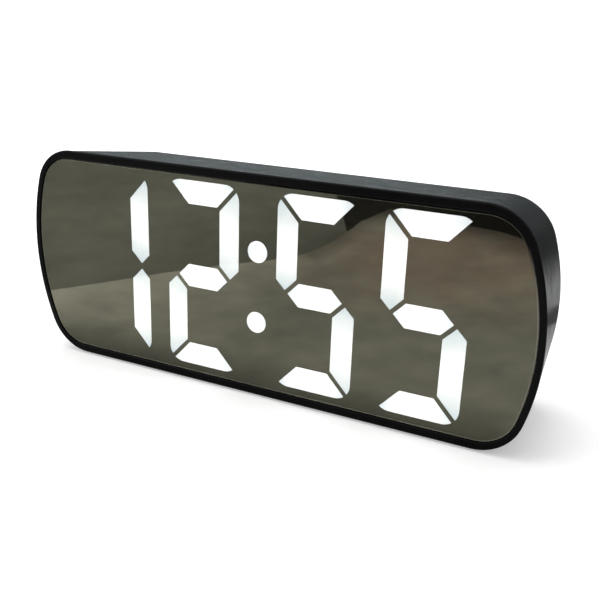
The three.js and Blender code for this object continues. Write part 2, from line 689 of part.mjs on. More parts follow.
// Rows on the key board, from the top down, with even gaps: a post, the snooze key, two rows
// of round keys, and the socket between two posts
const roundRow = 2 * (KEY_ROUND_RADIUS + KEY_FLANGE_LAP);
const rowHeights = [
  2 * KEY_POST_RADIUS, SNOOZE_HEIGHT + 2 * KEY_FLANGE_LAP, roundRow, roundRow, SOCKET_HEIGHT + 2 * SEAT_GAP];
const rowGap = (keyBoardHigh - keyBoardLow - rowHeights.reduce((a, b) => a + b)) / (rowHeights.length + 1);
const [postRow, snoozeRow, upperRow, lowerRow, socketRow] = rowHeights.map((height, i) =>
  keyBoardHigh - (i + 1) * rowGap - height / 2 - rowHeights.slice(0, i).reduce((a, b) => a + b, 0));
const roundKey = (x, z) => ({ x, z, width: 2 * KEY_ROUND_RADIUS, height: 2 * KEY_ROUND_RADIUS });
const keys = {
  snooze: { x: keyBlockX, z: snoozeRow, width: SNOOZE_LENGTH, height: SNOOZE_HEIGHT },
  mode: roundKey(keyBlockX - KEY_SPREAD, upperRow),
  alarm: roundKey(keyBlockX + KEY_SPREAD, upperRow),
  up: roundKey(keyBlockX - KEY_SPREAD, lowerRow),
  down: roundKey(keyBlockX + KEY_SPREAD, lowerRow),
};
const keyOutline = (key, grow) => box2(key.width + 2 * grow, key.height + 2 * grow,
  key.height / 2 + grow - FILM_GAP, key.x, key.z);

// Posts on the cover that hold the key board: two low down and one in the middle above
const keyPostX = KEY_BOARD_WIDTH / 2 - KEY_POST_FROM_EDGE;
const keyPostPlaces = [
  [keyBlockX - keyPostX, socketRow], [keyBlockX + keyPostX, socketRow], [keyBlockX, postRow]];

// Power socket below the keys, standing on the key board
const SOCKET_SHELL = 0.35;
const SOCKET_CAVITY = 6;
const SOCKET_SETBACK = 0.4;
const SOCKET_TONGUE = 0.7;
const SOCKET_TONGUE_SIDE = 1.1;
const SOCKET_TONGUE_DEPTH = 4.6;
const socketBack = CASE_DEPTH - SOCKET_SETBACK;
const socketOutline = (grow) => box2(SOCKET_WIDTH + 2 * grow, SOCKET_HEIGHT + 2 * grow,
  SOCKET_HEIGHT / 2 + grow - FILM_GAP, keyBlockX, socketRow);

// Sounder behind a ring of small holes, midway between the pocket and the cover's side
const SOUNDER_RADIUS = 7;
const SOUNDER_HEIGHT = 6;
const SOUNDER_PORT = 1.2;
const SOUNDER_PORT_DEPTH = 1.5;
const SOUNDER_WALL = 1.2;
const SOUNDER_WALL_HEIGHT = 4.5;
const GRILLE_HOLE = 0.9;
const GRILLE_RING = 4;
const GRILLE_COUNT = 6;
const pocketSide = POCKET_X + POCKET_LENGTH / 2 + POCKET_WALL;
const sounderX = (pocketSide + FACE_WIDTH / 2 - REAR_SIDE_INSET) / 2;
const grilleHoles = [[sounderX, rearMiddle]];
for (let i = 0; i < GRILLE_COUNT; i++) {
  const angle = (2 * Math.PI * i) / GRILLE_COUNT;
  grilleHoles.push([sounderX + GRILLE_RING * Math.cos(angle), rearMiddle + GRILLE_RING * Math.sin(angle)]);
}

// Battery contacts: thin plates that stand in grooves at the two ends of the pocket. The
// flat ones meet the cells' nubs with a dimple, the others press on the cells with a spring.
const CONTACT_THICKNESS = 0.4;
const CONTACT_HALF = 4.4;
const CONTACT_BACK = 4.2;
const DIMPLE_HEIGHT = 0.9;
const DIMPLE_RADIUS = 2.4;
const dimpleTopShare = 0.7;
const TAIL_WIDTH = 2;
const TAIL_OUT = 1.2;
const RAIL_LAP = 0.6;
const RAIL_WIDTH = 0.8;
const WIRE_RADIUS = 0.25;
const SPRING_PLATE_RADIUS = 3.2;
const SPRING_CELL_RADIUS = 2;
const SPRING_TURNS = 3;
const SPRING_STEPS = 8;
const SPRING_SIDES = 5;

const plateFace = POCKET_LENGTH / 2 - SEAT_GAP - CONTACT_THICKNESS;
const nubTip = plateFace - DIMPLE_HEIGHT - FILM_GAP;
const cellFoot = nubTip - CELL_NUB_LENGTH - CELL_BODY;
const tailFront = pocketFloor - POCKET_FLOOR - TAIL_OUT;

// The side that each cell's nub points to, from the top row down
const nubSides = [1, -1, 1];

// The contact plates: the side they stand on, their first and last row, and their rows' ends
const contacts = {
  contact_positive: { side: 1, rows: [0], springRow: -1, dimpleRow: 0, tail: 0 },
  contact_bridge_upper: { side: -1, rows: [0, 1], springRow: 0, dimpleRow: 1, tail: -1 },
  contact_bridge_lower: { side: 1, rows: [1, 2], springRow: 1, dimpleRow: 2, tail: -1 },
  contact_negative: { side: -1, rows: [2], springRow: 2, dimpleRow: -1, tail: 2 },
};

const pocketOutline = (grow) => box2(POCKET_LENGTH + 2 * grow, pocketHeight + 2 * grow,
  POCKET_CORNER + grow, POCKET_X, rearMiddle);
const doorOutline = (grow) => box2(doorWidth + 2 * grow, doorHeight + 2 * grow,
  DOOR_CORNER + grow, POCKET_X, rearMiddle);

// Blocks that grip the contact plates by their long edges, joined to the pocket's end walls
function railBlocks() {
  return Object.values(contacts).flatMap(({ side, rows }) => {
    const outer = POCKET_X + side * (POCKET_LENGTH / 2 + JOIN_LAP);
    const inner = POCKET_X + side * (plateFace - RAIL_LAP);
    const [x0, x1] = [Math.min(outer, inner), Math.max(outer, inner)];
    const upper = cellZ(rows[0]) + CONTACT_HALF + SEAT_GAP;
    const lower = cellZ(rows[rows.length - 1]) - CONTACT_HALF - SEAT_GAP;
    const back = cellDepth + CONTACT_BACK;
    const front = pocketFloor - JOIN_LAP;
    return [
      block(x0, x1, front, back, upper, upper + RAIL_WIDTH),
      block(x0, x1, front, back, lower - RAIL_WIDTH, lower),
    ];
  });
}

// Low ribs on the pocket's floor between the cells
function cradleRibs() {
  return Array.from({ length: CELL_COUNT - 1 }, (_, row) => {
    const z = (cellZ(row) + cellZ(row + 1)) / 2;
    return block(POCKET_X + cellFoot, POCKET_X - cellFoot,
      pocketFloor - JOIN_LAP, pocketFloor + CRADLE_HEIGHT, z - CRADLE_RIB / 2, z + CRADLE_RIB / 2);
  });
}

function coverShell() {
  const skin = loft([
    ring(caseOutline(coverFront), coverFront),
    ring(caseOutline(CASE_DEPTH - COVER_EDGE_RADIUS), CASE_DEPTH - COVER_EDGE_RADIUS),
    ring(caseOutline(CASE_DEPTH, COVER_EDGE_RADIUS), CASE_DEPTH),
  ]);
  const sleeve = (inset, front, back) => loft([
    ring(caseOutline(front, inset), front), ring(caseOutline(back, inset), back)]);
  const lipInset = WALL + SEAT_GAP;
  const lip = cut(
    sleeve(lipInset, coverFront - LIP_DEPTH, coverFront + JOIN_LAP),
    sleeve(lipInset + LIP_THICKNESS, coverFront - LIP_DEPTH - CUT_OVERRUN, coverFront));
  const inner = coverFront + JOIN_LAP;
  const towers = postPlaces.map(([x, z]) => rod(TOWER_RADIUS, x, z, towerFront, inner));
  const keyPosts = keyPostPlaces.map(([x, z]) =>
    rod(KEY_POST_RADIUS, x, z, keyBoardBack + FILM_GAP, inner, SMALL_SIDES));
  const wallRadius = SOUNDER_RADIUS + RUNNING_GAP;
  const sounderWall = cut(
    rod(wallRadius + SOUNDER_WALL, sounderX, rearMiddle, coverFront - SOUNDER_WALL_HEIGHT, inner),
    rod(wallRadius, sounderX, rearMiddle, coverFront - SOUNDER_WALL_HEIGHT - CUT_OVERRUN, coverFront));
  const pocket = plate(pocketOutline(POCKET_WALL), pocketFloor - POCKET_FLOOR, inner);
  return join(skin, lip, ...towers, ...keyPosts, sounderWall, pocket);
}

// Rear cover with its screw towers, battery pocket, key posts and sounder wall
function coverGeometry() {
  const over = CASE_DEPTH + CUT_OVERRUN;
  const screwWells = postPlaces.map(([x, z]) => rod(TOWER_BORE, x, z, towerFront + TOWER_FLOOR, over));
  const screwHoles = postPlaces.map(([x, z]) =>
    rod(COVER_SCREW_SHANK + RUNNING_GAP, x, z, towerFront - CUT_OVERRUN, over, SMALL_SIDES));
  const pilots = keyPostPlaces.map(([x, z]) => rod(BOSS_PILOT, x, z,
    keyBoardFront, keyBoardFront + KEY_SCREW_LENGTH + CUT_OVERRUN / 2, SMALL_SIDES));
  const pocket = plate(pocketOutline(0), pocketFloor, over);
  const recess = plate(doorOutline(DOOR_GAP), doorFront - SEAT_GAP, over);
  const tabFar = doorLow - TAB_REACH - TAB_CLEARANCE;
  const tabNear = doorLow + TAB_ROOT + TAB_CLEARANCE;
  const tabNotches = tabPlaces.map((x) => block(
    x - TAB_WIDTH / 2 - TAB_CLEARANCE, x + TAB_WIDTH / 2 + TAB_CLEARANCE,
    CASE_DEPTH - TAB_ROOM, CASE_DEPTH - TAB_SKIN, tabFar, tabNear));
  const keyHoles = Object.values(keys).map((key) =>
    plate(keyOutline(key, RUNNING_GAP), coverFront - CUT_OVERRUN, over));
  const socketHole = plate(socketOutline(SEAT_GAP), coverFront - CUT_OVERRUN, over);
  const grille = grilleHoles.map(([x, z]) =>
    rod(GRILLE_HOLE, x, z, coverFront - CUT_OVERRUN, over, HOLE_SIDES));
  const fingerWell = rod(FINGER_RADIUS, POCKET_X, doorHigh, CASE_DEPTH - FINGER_DEPTH, over);
  const tailSlots = Object.values(contacts).filter(({ tail }) => tail >= 0).map(({ side, tail }) => {
    const near = POCKET_X + side * (plateFace - SEAT_GAP);
    const far = POCKET_X + side * (plateFace + CONTACT_THICKNESS + SEAT_GAP);
    const half = TAIL_WIDTH / 2 + SEAT_GAP;
    return block(Math.min(near, far), Math.max(near, far), pocketFloor - POCKET_FLOOR - CUT_OVERRUN,
      pocketFloor + CUT_OVERRUN, cellZ(tail) - half, cellZ(tail) + half);
  });
  const opened = cut(coverShell(), ...screwWells, ...screwHoles, ...pilots, pocket, recess, ...tabNotches,
    ...keyHoles, socketHole, ...grille, fingerWell, ...tailSlots);
  return join(opened, ...railBlocks(), ...cradleRibs());
}
add("rear_cover", coverGeometry(), finishes.coverBlack);

postPlaces.forEach(([x, z], i) => add(`cover_screw_${i + 1}`, screwGeometry(
  x, z, towerFront + TOWER_FLOOR + FILM_GAP, -1, COVER_SCREW_LENGTH, COVER_SCREW_SHANK,
  COVER_SCREW_HEAD, COVER_SCREW_HEAD_HEIGHT), finishes.steel));

// Battery door: two tabs under the cover's skin at the lower edge, a sprung tongue between
// two slits at the upper edge, and grip grooves across the tongue
function doorGeometry() {
  const panel = plate(doorOutline(0), doorFront, CASE_DEPTH);
  const tabBack = CASE_DEPTH - TAB_SKIN - SEAT_GAP;
  const tabs = tabPlaces.map((x) => join(
    block(x - TAB_WIDTH / 2, x + TAB_WIDTH / 2, tabBack - TAB_THICKNESS, tabBack,
      doorLow - TAB_REACH, doorLow + TAB_ROOT),
    block(x - TAB_WIDTH / 2, x + TAB_WIDTH / 2, tabBack - TAB_THICKNESS, doorFront + JOIN_LAP,
      doorLow + SEAT_GAP, doorLow + TAB_ROOT)));
  const legTop = doorHigh - DOOR_LAP - SEAT_GAP - FILM_GAP;
  const leg = block(POCKET_X - LATCH_WIDTH / 2, POCKET_X + LATCH_WIDTH / 2,
    doorFront - LATCH_LEG, doorFront + JOIN_LAP, legTop - LATCH_LEG_THICKNESS, legTop);
  const slitX = LATCH_WIDTH / 2 + LATCH_SLIT / 2;
  const slits = [POCKET_X - slitX, POCKET_X + slitX].map((x) => block(x - LATCH_SLIT / 2, x + LATCH_SLIT / 2,
    doorFront - CUT_OVERRUN, CASE_DEPTH + CUT_OVERRUN, doorHigh - LATCH_SLIT_LENGTH, doorHigh + CUT_OVERRUN));
  const grooves = Array.from({ length: GRIP_COUNT }, (_, i) => {
    const z = doorHigh - (i + 1) * GRIP_PITCH;
    return block(POCKET_X - GRIP_LENGTH / 2, POCKET_X + GRIP_LENGTH / 2,
      CASE_DEPTH - GRIP_DEPTH, CASE_DEPTH + CUT_OVERRUN, z - GRIP_GROOVE / 2, z + GRIP_GROOVE / 2);
  });
  return cut(join(panel, leg, ...tabs), ...slits, ...grooves);
}
add("battery_door", doorGeometry(), finishes.coverBlack);

// One cell lying along X with its nub on the side given
function cellGeometry(side, z) {
  const half = CELL_BODY / 2;
  const points = [
    [0, -half], [CELL_RADIUS - CELL_EDGE, -half], [CELL_RADIUS, -half + CELL_EDGE],
    [CELL_RADIUS, half - CELL_EDGE], [CELL_RADIUS - CELL_EDGE, half], [CELL_NUB_RADIUS, half],
    [CELL_NUB_RADIUS, half + CELL_NUB_LENGTH], [0, half + CELL_NUB_LENGTH],
  ].map(([radius, along]) => new THREE.Vector2(radius, along));
  const middle = nubTip - CELL_NUB_LENGTH - half;
  return new THREE.LatheGeometry(points, ROUND_SIDES)
    .rotateZ((-side * Math.PI) / 2)
    .translate(POCKET_X + side * middle, cellDepth, z);
}
nubSides.forEach((side, row) =>
  add(`battery_cell_${row + 1}`, cellGeometry(side, cellZ(row)), finishes.cell));

// Centre line of a contact spring: out of its plate, three turns that draw in, and on to the cell
function springPoints(side, z) {
  const wire = 2 * WIRE_RADIUS;
  const from = plateFace;
  const to = -cellFoot + FILM_GAP;
  const count = SPRING_TURNS * SPRING_STEPS;
  const at = (x, radius, angle) => new THREE.Vector3(
    POCKET_X + side * x, cellDepth + radius * Math.cos(angle), z + radius * Math.sin(angle));
  const points = [at(from + CONTACT_THICKNESS / 2, SPRING_PLATE_RADIUS, 0)];
  for (let i = 0; i <= count; i++) {
    const share = i / count;
    points.push(at(from - wire + (to - from + 2 * wire) * share,
      SPRING_PLATE_RADIUS + (SPRING_CELL_RADIUS - SPRING_PLATE_RADIUS) * share,
      (2 * Math.PI * i) / SPRING_STEPS));
  }
  points.push(at(to, SPRING_CELL_RADIUS, 2 * Math.PI * SPRING_TURNS));
  return points;
}

// The least gap between the wire's turns, from points at least half a turn apart
function springGap(points) {
  let least = Infinity;
  for (let i = 0; i < points.length; i++) {
    for (let j = i + SPRING_STEPS / 2; j < points.length; j++) {
      least = Math.min(least, points[i].distanceTo(points[j]));
    }
  }
  return least - 2 * WIRE_RADIUS;
}

function contactGeometry({ side, rows, springRow, dimpleRow, tail }) {
  const near = POCKET_X + side * plateFace;
  const far = near + side * CONTACT_THICKNESS;
  const [x0, x1] = [Math.min(near, far), Math.max(near, far)];
  const front = pocketFloor + SEAT_GAP;
  const parts = [block(x0, x1, front, cellDepth + CONTACT_BACK,
    cellZ(rows[rows.length - 1]) - CONTACT_HALF, cellZ(rows[0]) + CONTACT_HALF)];
  if (dimpleRow >= 0) {
    const lap = CONTACT_THICKNESS / 2;
    const profile = [[0, -lap], [DIMPLE_RADIUS, -lap], [DIMPLE_RADIUS, 0],
      [DIMPLE_RADIUS * dimpleTopShare, DIMPLE_HEIGHT], [0, DIMPLE_HEIGHT]];
    parts.push(new THREE.LatheGeometry(profile.map(([r, y]) => new THREE.Vector2(r, y)), SMALL_SIDES)
      .rotateZ((side * Math.PI) / 2)
      .translate(near, cellDepth, cellZ(dimpleRow)));
  }
  if (springRow >= 0) {
    const points = springPoints(side, cellZ(springRow));
    const gap = springGap(points).toFixed(2);
    console.log(`least gap of the spring in row ${springRow + 1} to itself: ${gap} mm`);
    parts.push(sweep(points, WIRE_RADIUS, SPRING_SIDES));
  }
  if (tail >= 0) {
    parts.push(block(x0, x1, tailFront, front + JOIN_LAP,
      cellZ(tail) - TAIL_WIDTH / 2, cellZ(tail) + TAIL_WIDTH / 2));
  }
  return join(...parts);
}
for (const [name, contact] of Object.entries(contacts)) {
  add(name, contactGeometry(contact), finishes.contact);
}

// Keys, their switches and the plungers that move with them
function keyGeometry(key) {
  const flangeFront = keyFlangeBack - KEY_FLANGE;
  const top = CASE_DEPTH + KEY_PROUD;
  return join(
    plate(keyOutline(key, KEY_FLANGE_LAP), flangeFront, keyFlangeBack),
    loft([
      ring(keyOutline(key, 0), keyFlangeBack - JOIN_LAP),
      ring(keyOutline(key, 0), top - KEY_EDGE),
      ring(keyOutline(key, -KEY_EDGE), top),
    ]),
    rod(KEY_STEM_RADIUS, key.x, key.z, keyStemFront, flangeFront + JOIN_LAP, SMALL_SIDES));
}

function switchGeometry(key) {
  const base = plate(
    box2(SWITCH_SIZE, SWITCH_SIZE, SWITCH_EDGE, key.x, key.z), keyBoardBack + FILM_GAP, switchBack);
  const bore = rod(PLUNGER_RADIUS + SEAT_GAP, key.x, key.z,
    switchBack - PLUNGER_SUNK - KEY_TRAVEL - SEAT_GAP, switchBack + CUT_OVERRUN, SMALL_SIDES);
  return cut(base, bore);
}

for (const [name, key] of Object.entries(keys)) {
  add(`key_${name}`, keyGeometry(key), finishes.key);
  add(`switch_${name}`, switchGeometry(key), finishes.switchBody);
  add(`plunger_${name}`,
    rod(PLUNGER_RADIUS, key.x, key.z, switchBack - PLUNGER_SUNK, plungerBack, SMALL_SIDES), finishes.plunger);
}

function keyBoardGeometry() {
  const outline = box2(KEY_BOARD_WIDTH, keyBoardHigh - keyBoardLow, KEY_BOARD_CORNER,
    keyBlockX, (keyBoardHigh + keyBoardLow) / 2);
  return plate(outline, keyBoardFront, keyBoardBack,
    keyPostPlaces.map(([x, z]) => circle2(SCREW_HOLE, x, z, SMALL_SIDES)));
}
add("key_board", keyBoardGeometry(), finishes.board);
keyPostPlaces.forEach(([x, z], i) => add(`key_board_screw_${i + 1}`, screwGeometry(
  x, z, keyBoardFront - FILM_GAP, 1, KEY_SCREW_LENGTH, SCREW_SHANK, SCREW_HEAD, SCREW_HEAD_HEIGHT),
finishes.steel));

// Power socket: a thin oblong shell with a contact tongue inside
function socketGeometry() {
  const shell = plate(socketOutline(0), keyBoardBack + FILM_GAP, socketBack);
  const cavity = plate(socketOutline(-SOCKET_SHELL), socketBack - SOCKET_CAVITY, socketBack + CUT_OVERRUN);
  const tongueHalf = SOCKET_WIDTH / 2 - SOCKET_SHELL - SOCKET_TONGUE_SIDE;
  const floor = socketBack - SOCKET_CAVITY;
  const tongue = block(keyBlockX - tongueHalf, keyBlockX + tongueHalf, floor - JOIN_LAP,
    floor + SOCKET_TONGUE_DEPTH, socketRow - SOCKET_TONGUE / 2, socketRow + SOCKET_TONGUE / 2);
  return join(cut(shell, cavity), tongue);
}
add("power_socket", socketGeometry(), finishes.steel);

// Sounder: a black can with a small port towards the holes in the cover
const sounderBack = coverFront - FILM_GAP;
const sounderFront = sounderBack - SOUNDER_HEIGHT;
add("sounder", turned([
  [0, sounderFront], [SOUNDER_RADIUS, sounderFront], [SOUNDER_RADIUS, sounderBack],
  [SOUNDER_PORT, sounderBack],
  [SOUNDER_PORT, sounderBack - SOUNDER_PORT_DEPTH], [0, sounderBack - SOUNDER_PORT_DEPTH],
], sounderX, rearMiddle), finishes.chip);

// Leads from the battery contacts and the sounder to the LED board
const LEAD_RADIUS = 0.6;
const LEAD_STRAIGHT = 2.5;
const LEAD_STEPS = 8;
const LEAD_SIDES = 6;
const BATTERY_LEAD_IN = 7;
const SOUNDER_LEAD_SPREAD = 2.5;
const SOUNDER_LEAD_RISE = 6;

// A lead that leaves one face and meets another face squarely, both facing along Y
function leadGeometry(from, to) {
  const path = new THREE.CatmullRomCurve3([
    from, from.clone().setY(from.y - LEAD_STRAIGHT), to.clone().setY(to.y + LEAD_STRAIGHT), to]);
  return sweep(path.getPoints(LEAD_STEPS), LEAD_RADIUS, LEAD_SIDES);
}

const leadEnd = BOARD_BACK + FILM_GAP;
function batteryLead({ side, tail }) {
  const x = POCKET_X + side * (plateFace + CONTACT_THICKNESS / 2);
  return leadGeometry(new THREE.Vector3(x, tailFront - FILM_GAP, cellZ(tail)),
    new THREE.Vector3(x - side * BATTERY_LEAD_IN, leadEnd, cellZ(tail)));
}
add("battery_lead_red", batteryLead(contacts.contact_positive), finishes.redLead);
add("battery_lead_black", batteryLead(contacts.contact_negative), finishes.blackLead);

function sounderLead(side) {
  const x = sounderX + side * SOUNDER_LEAD_SPREAD;
  return leadGeometry(new THREE.Vector3(x, sounderFront - FILM_GAP, rearMiddle),
    new THREE.Vector3(x, leadEnd, rearMiddle + SOUNDER_LEAD_RISE));
}
add("sounder_lead_red", sounderLead(1), finishes.redLead);
add("sounder_lead_black", sounderLead(-1), finishes.blackLead);

// Flat ribbon cable from the LED board to the key board, bowed to take up its slack
const RIBBON_WIDTH = 10;
const RIBBON_THICKNESS = 0.8;
const RIBBON_BOW = 4;
const RIBBON_STEPS = 12;

function ribbonGeometry() {
  const from = BOARD_BACK + FILM_GAP;
  const to = keyBoardFront - FILM_GAP;
  const side = (offset) => Array.from({ length: RIBBON_STEPS + 1 }, (_, i) => {
    const share = i / RIBBON_STEPS;
    const bow = RIBBON_BOW * Math.sin(Math.PI * share) ** 2;
    return new THREE.Vector2(from + (to - from) * share, rearMiddle + bow + offset);
  });
  const outline = [...side(-RIBBON_THICKNESS / 2), ...side(RIBBON_THICKNESS / 2).reverse()];
  return slab(outline, keyBlockX - RIBBON_WIDTH / 2, keyBlockX + RIBBON_WIDTH / 2);
}
add("ribbon_cable", ribbonGeometry(), finishes.ribbon);

// Rubber feet: the front pair is short and the rear pair taller, because the base rises
const FOOT_RADIUS = 4;
const FOOT_CHAMFER = 0.3;
const FOOT_FROM_SIDE = 30;
const FOOT_FRONT_DEPTH = 9;
const FOOT_REAR_DEPTH = 28;

function footGeometry(x, depth) {
  const floor = -FACE_HEIGHT / 2 - FOOT_STAND;
  const top = rearBottom + FOOT_RADIUS;
  const profile = [[0, floor], [FOOT_RADIUS - FOOT_CHAMFER, floor], [FOOT_RADIUS, floor + FOOT_CHAMFER],
    [FOOT_RADIUS, top], [0, top]];
  const stud = new THREE.LatheGeometry(profile.map(([r, y]) => new THREE.Vector2(r, y)), ROUND_SIDES)
    .rotateX(Math.PI / 2)
    .translate(x, depth, 0);
  const caseBody = loft([
    ring(caseOutline(0, -FILM_GAP), 0),
    ring(caseOutline(CASE_DEPTH, -FILM_GAP), CASE_DEPTH),
  ]);
  return cut(stud, caseBody);
}
const footX = FACE_WIDTH / 2 - FOOT_FROM_SIDE;
[["left", -footX], ["right", footX]].forEach(([name, x]) => {
  add(`foot_front_${name}`, footGeometry(x, FOOT_FRONT_DEPTH), finishes.rubber);
  add(`foot_rear_${name}`, footGeometry(x, FOOT_REAR_DEPTH), finishes.rubber);
});

// Stand the clock on the table, with the origin under the middle of its outer size
body.position.set(0, -(CASE_DEPTH + KEY_PROUD) / 2, FACE_HEIGHT / 2 + FOOT_STAND);

export default clock;
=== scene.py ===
import math

import bmesh
import bpy
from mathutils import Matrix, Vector


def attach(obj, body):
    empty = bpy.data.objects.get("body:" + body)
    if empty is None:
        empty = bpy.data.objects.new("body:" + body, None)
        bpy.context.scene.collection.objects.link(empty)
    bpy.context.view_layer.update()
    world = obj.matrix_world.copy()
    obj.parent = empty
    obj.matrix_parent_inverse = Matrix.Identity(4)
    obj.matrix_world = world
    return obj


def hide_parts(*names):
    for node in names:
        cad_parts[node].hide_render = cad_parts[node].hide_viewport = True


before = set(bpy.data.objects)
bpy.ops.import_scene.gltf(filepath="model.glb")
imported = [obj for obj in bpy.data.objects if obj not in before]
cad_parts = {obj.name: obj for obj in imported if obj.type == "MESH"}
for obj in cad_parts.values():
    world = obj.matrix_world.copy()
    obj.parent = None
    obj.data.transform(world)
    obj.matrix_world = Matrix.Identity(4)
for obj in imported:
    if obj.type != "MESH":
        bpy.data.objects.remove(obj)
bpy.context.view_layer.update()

# Front rim
# A narrow gloss-black frame moulded in ABS. Its flange covers the housing's front edge. The
# collar behind it holds the lens and the films, and two tongues and four bosses locate it.
MM = 0.001
FACE_WIDTH = 160
FACE_HEIGHT = 64
CASE_DEPTH = 36
SIDE_RADIUS = 70
CORNER_RADIUS = 13.6
FLANGE_DEPTH = 0.8
COLLAR_DEPTH = 3.6
KEY_PROUD = 0.8
FOOT_STAND = 0.6
REAR_SIDE_INSET = 6
REAR_TOP_INSET = 6.2
REAR_BASE_RISE = 2.2
SIDE_STEPS = 18
CORNER_STEPS = 14
WINDOW_TOP = 0.59
WINDOW_CORNER = 12.75
LEDGE_DEPTH = 1.6
TONGUE_REACH = 8.5
TONGUE_STEPS = 12
EDGE_WIDTH = 0.3 * MM
FINE_RELIEF = 0.04 * MM


def place(x, depth, z):
    """A point of the case, measured back from the rim's front and up from the face's middle"""
    return Vector((x, depth - (CASE_DEPTH + KEY_PROUD) / 2, z + FACE_HEIGHT / 2 + FOOT_STAND)) * MM


def shares(steps):
    """Even shares from 0 to 1"""
    return [k / steps for k in range(steps + 1)]


def arc(radius, x, z, first, last, steps):
    """Flat points along an arc from one angle to another"""
    turns = [first + (last - first) * i / steps for i in range(steps + 1)]
    return [(x + radius * math.cos(t), z + radius * math.sin(t)) for t in turns]


def circle(radius, x, z, sides=48):
    return arc(radius, x, z, 0, 2 * math.pi, sides)[:-1]


def oblong(x, z, half_x, half_z):
    return [(x + a * half_x, z + b * half_z) for a, b in ((-1, -1), (1, -1), (1, 1), (-1, 1))]


def barrel_ring(side, top, bottom, corner, depth):
    """Points round the barrel-shaped face, drawn in by the side, top and bottom insets"""
    high = FACE_HEIGHT / 2 - top
    low = -FACE_HEIGHT / 2 + bottom
    middle = (high + low) / 2
    radius = SIDE_RADIUS - side
    centre = FACE_WIDTH / 2 - side - radius
    rise = (high - low) / 2 - corner
    run = math.sqrt((radius - corner) ** 2 - rise ** 2)
    turn = math.atan2(rise, run)
    quarter = arc(radius, centre, 0, 0, turn, SIDE_STEPS)
    quarter += arc(corner, centre + run, rise, turn, math.pi / 2, CORNER_STEPS)[1:]
    upper = quarter + [(-x, z) for x, z in reversed(quarter)]
    lower = [(x, -z) for x, z in reversed(upper[1:-1])]
    return [place(x, depth, z + middle) for x, z in upper + lower]


def face_line(side, top, corner, depth):
    """A line of a profile that keeps to the face's own outline"""
    return (side, top, top, corner, depth)


def window_line(side, depth):
    """A line of a profile that keeps to the rim's window"""
    return face_line(side, side + WINDOW_TOP, WINDOW_CORNER - side, depth)


def case_line(depth, inset):
    """A line of a profile that keeps to the tapered case"""
    share = depth / CASE_DEPTH
    return (REAR_SIDE_INSET * share + inset, REAR_TOP_INSET * share + inset,
            REAR_BASE_RISE * share + inset, CORNER_RADIUS - inset, depth)


def eased_profile(lines, steps):
    """Rings of a closed profile, whose corners are rounded over the length given with each line"""
    rings = []
    for i, (line, ease) in enumerate(lines):
        if not ease:
            rings.append(line)
            continue
        ends = []
        for other in (lines[i - 1][0], lines[(i + 1) % len(lines)][0]):
            gap = math.hypot(other[0] - line[0], other[4] - line[4])
            ends.append([a + (b - a) * min(ease / gap, 0.5) for a, b in zip(line, other)])
        for t in shares(steps):
            rings.append([a * (1 - t) ** 2 + 2 * b * t * (1 - t) + c * t ** 2
                          for a, b, c in zip(ends[0], line, ends[1])])
    return rings


def looped(rings, closed=False):
    """A shell through rings of equal counts: a closed profile, or a body capped at both ends"""
    count = len(rings[0])
    total = count * len(rings)
    faces = []
    for near in range(0, total if closed else total - count, count):
        far = (near + count) % total
        for i in range(count):
            j = (i + 1) % count
            faces.append((near + i, near + j, far + j, far + i))
    if not closed:
        faces += [tuple(range(count - 1, -1, -1)), tuple(range(total - count, total))]
    return [point for ring in rings for point in ring], faces


def barrel_shell(lines, closed=True, steps=4):
    """A shell round the case through the eased lines of a profile"""
    return looped([barrel_ring(*line) for line in eased_profile(lines, steps)], closed)


def stacked(rings, closed=False):
    """A shell through (flat outline, depth) rings of equal counts"""
    return looped([[place(x, depth, z) for x, z in outline] for outline, depth in rings], closed)


def turned(profile, x, z, sides=28, closed=False):
    """A shell turned about a line from front to back, from (radius, depth) pairs"""
    return stacked([(circle(radius, x, z, sides), depth) for radius, depth in profile], closed)


def linked(name, data):
    item = bpy.data.objects.new(name, data)
    bpy.context.scene.collection.objects.link(item)
    return item


def edited(mesh, *steps):
    """A mesh after some steps of mesh work"""
    shape = bmesh.new()
    shape.from_mesh(mesh)
    for step in steps:
        step(shape)
    shape.to_mesh(mesh)
    shape.free()
    return mesh


def face_outwards(shape):
    bmesh.ops.recalc_face_normals(shape, faces=shape.faces)


def as_mesh(points, faces, name="blank"):
    mesh = bpy.data.meshes.new(name)
    mesh.from_pydata(points, [], faces)
    return edited(mesh, face_outwards)


def new_piece(name, node, slot, *finishes, body="case", smooth=35):
    """A piece that stands for a CAD node, from pairs of a material and the closed shells in it"""
    points, faces, worn = [], [], []
    for index, (material, shells) in enumerate(finishes):
        for shell_points, shell_faces in shells:
            faces += [tuple(len(points) + i for i in face) for face in shell_faces]
            points += shell_points
            worn += [index] * len(shell_faces)
    mesh = as_mesh(points, faces, name)
    for material, shells in finishes:
        mesh.materials.append(material)
    mesh.polygons.foreach_set("material_index", worn)
    mesh.shade_smooth()
    mesh.set_sharp_from_angle(angle=math.radians(smooth))
    piece = linked(name, mesh)
    evened = piece.modifiers.new("even shading", "WEIGHTED_NORMAL")
    evened.keep_sharp = True
    evened.weight = 80
    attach(piece, body)
    if node:
        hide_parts(node)
    return piece


def feed(node, feeds):
    """Feeds a node's inputs, by name or in order; one number in place of a colour is a grey"""
    for label, value in feeds.items() if isinstance(feeds, dict) else enumerate(feeds):
        socket = node.inputs[label]
        if isinstance(value, bpy.types.NodeSocket):
            node.id_data.links.new(value, socket)
        elif socket.type == "RGBA":
            socket.default_value = (*value, 1) if isinstance(value, tuple) else (value, value, value, 1)
        else:
            socket.default_value = value


def add_node(near, kind, feeds=(), **settings):
    """A node in the same tree as another node or socket"""
    node = near.id_data.nodes.new("ShaderNode" + kind)
    for key, value in settings.items():
        setattr(node, key, value)
    feed(node, feeds)
    return node


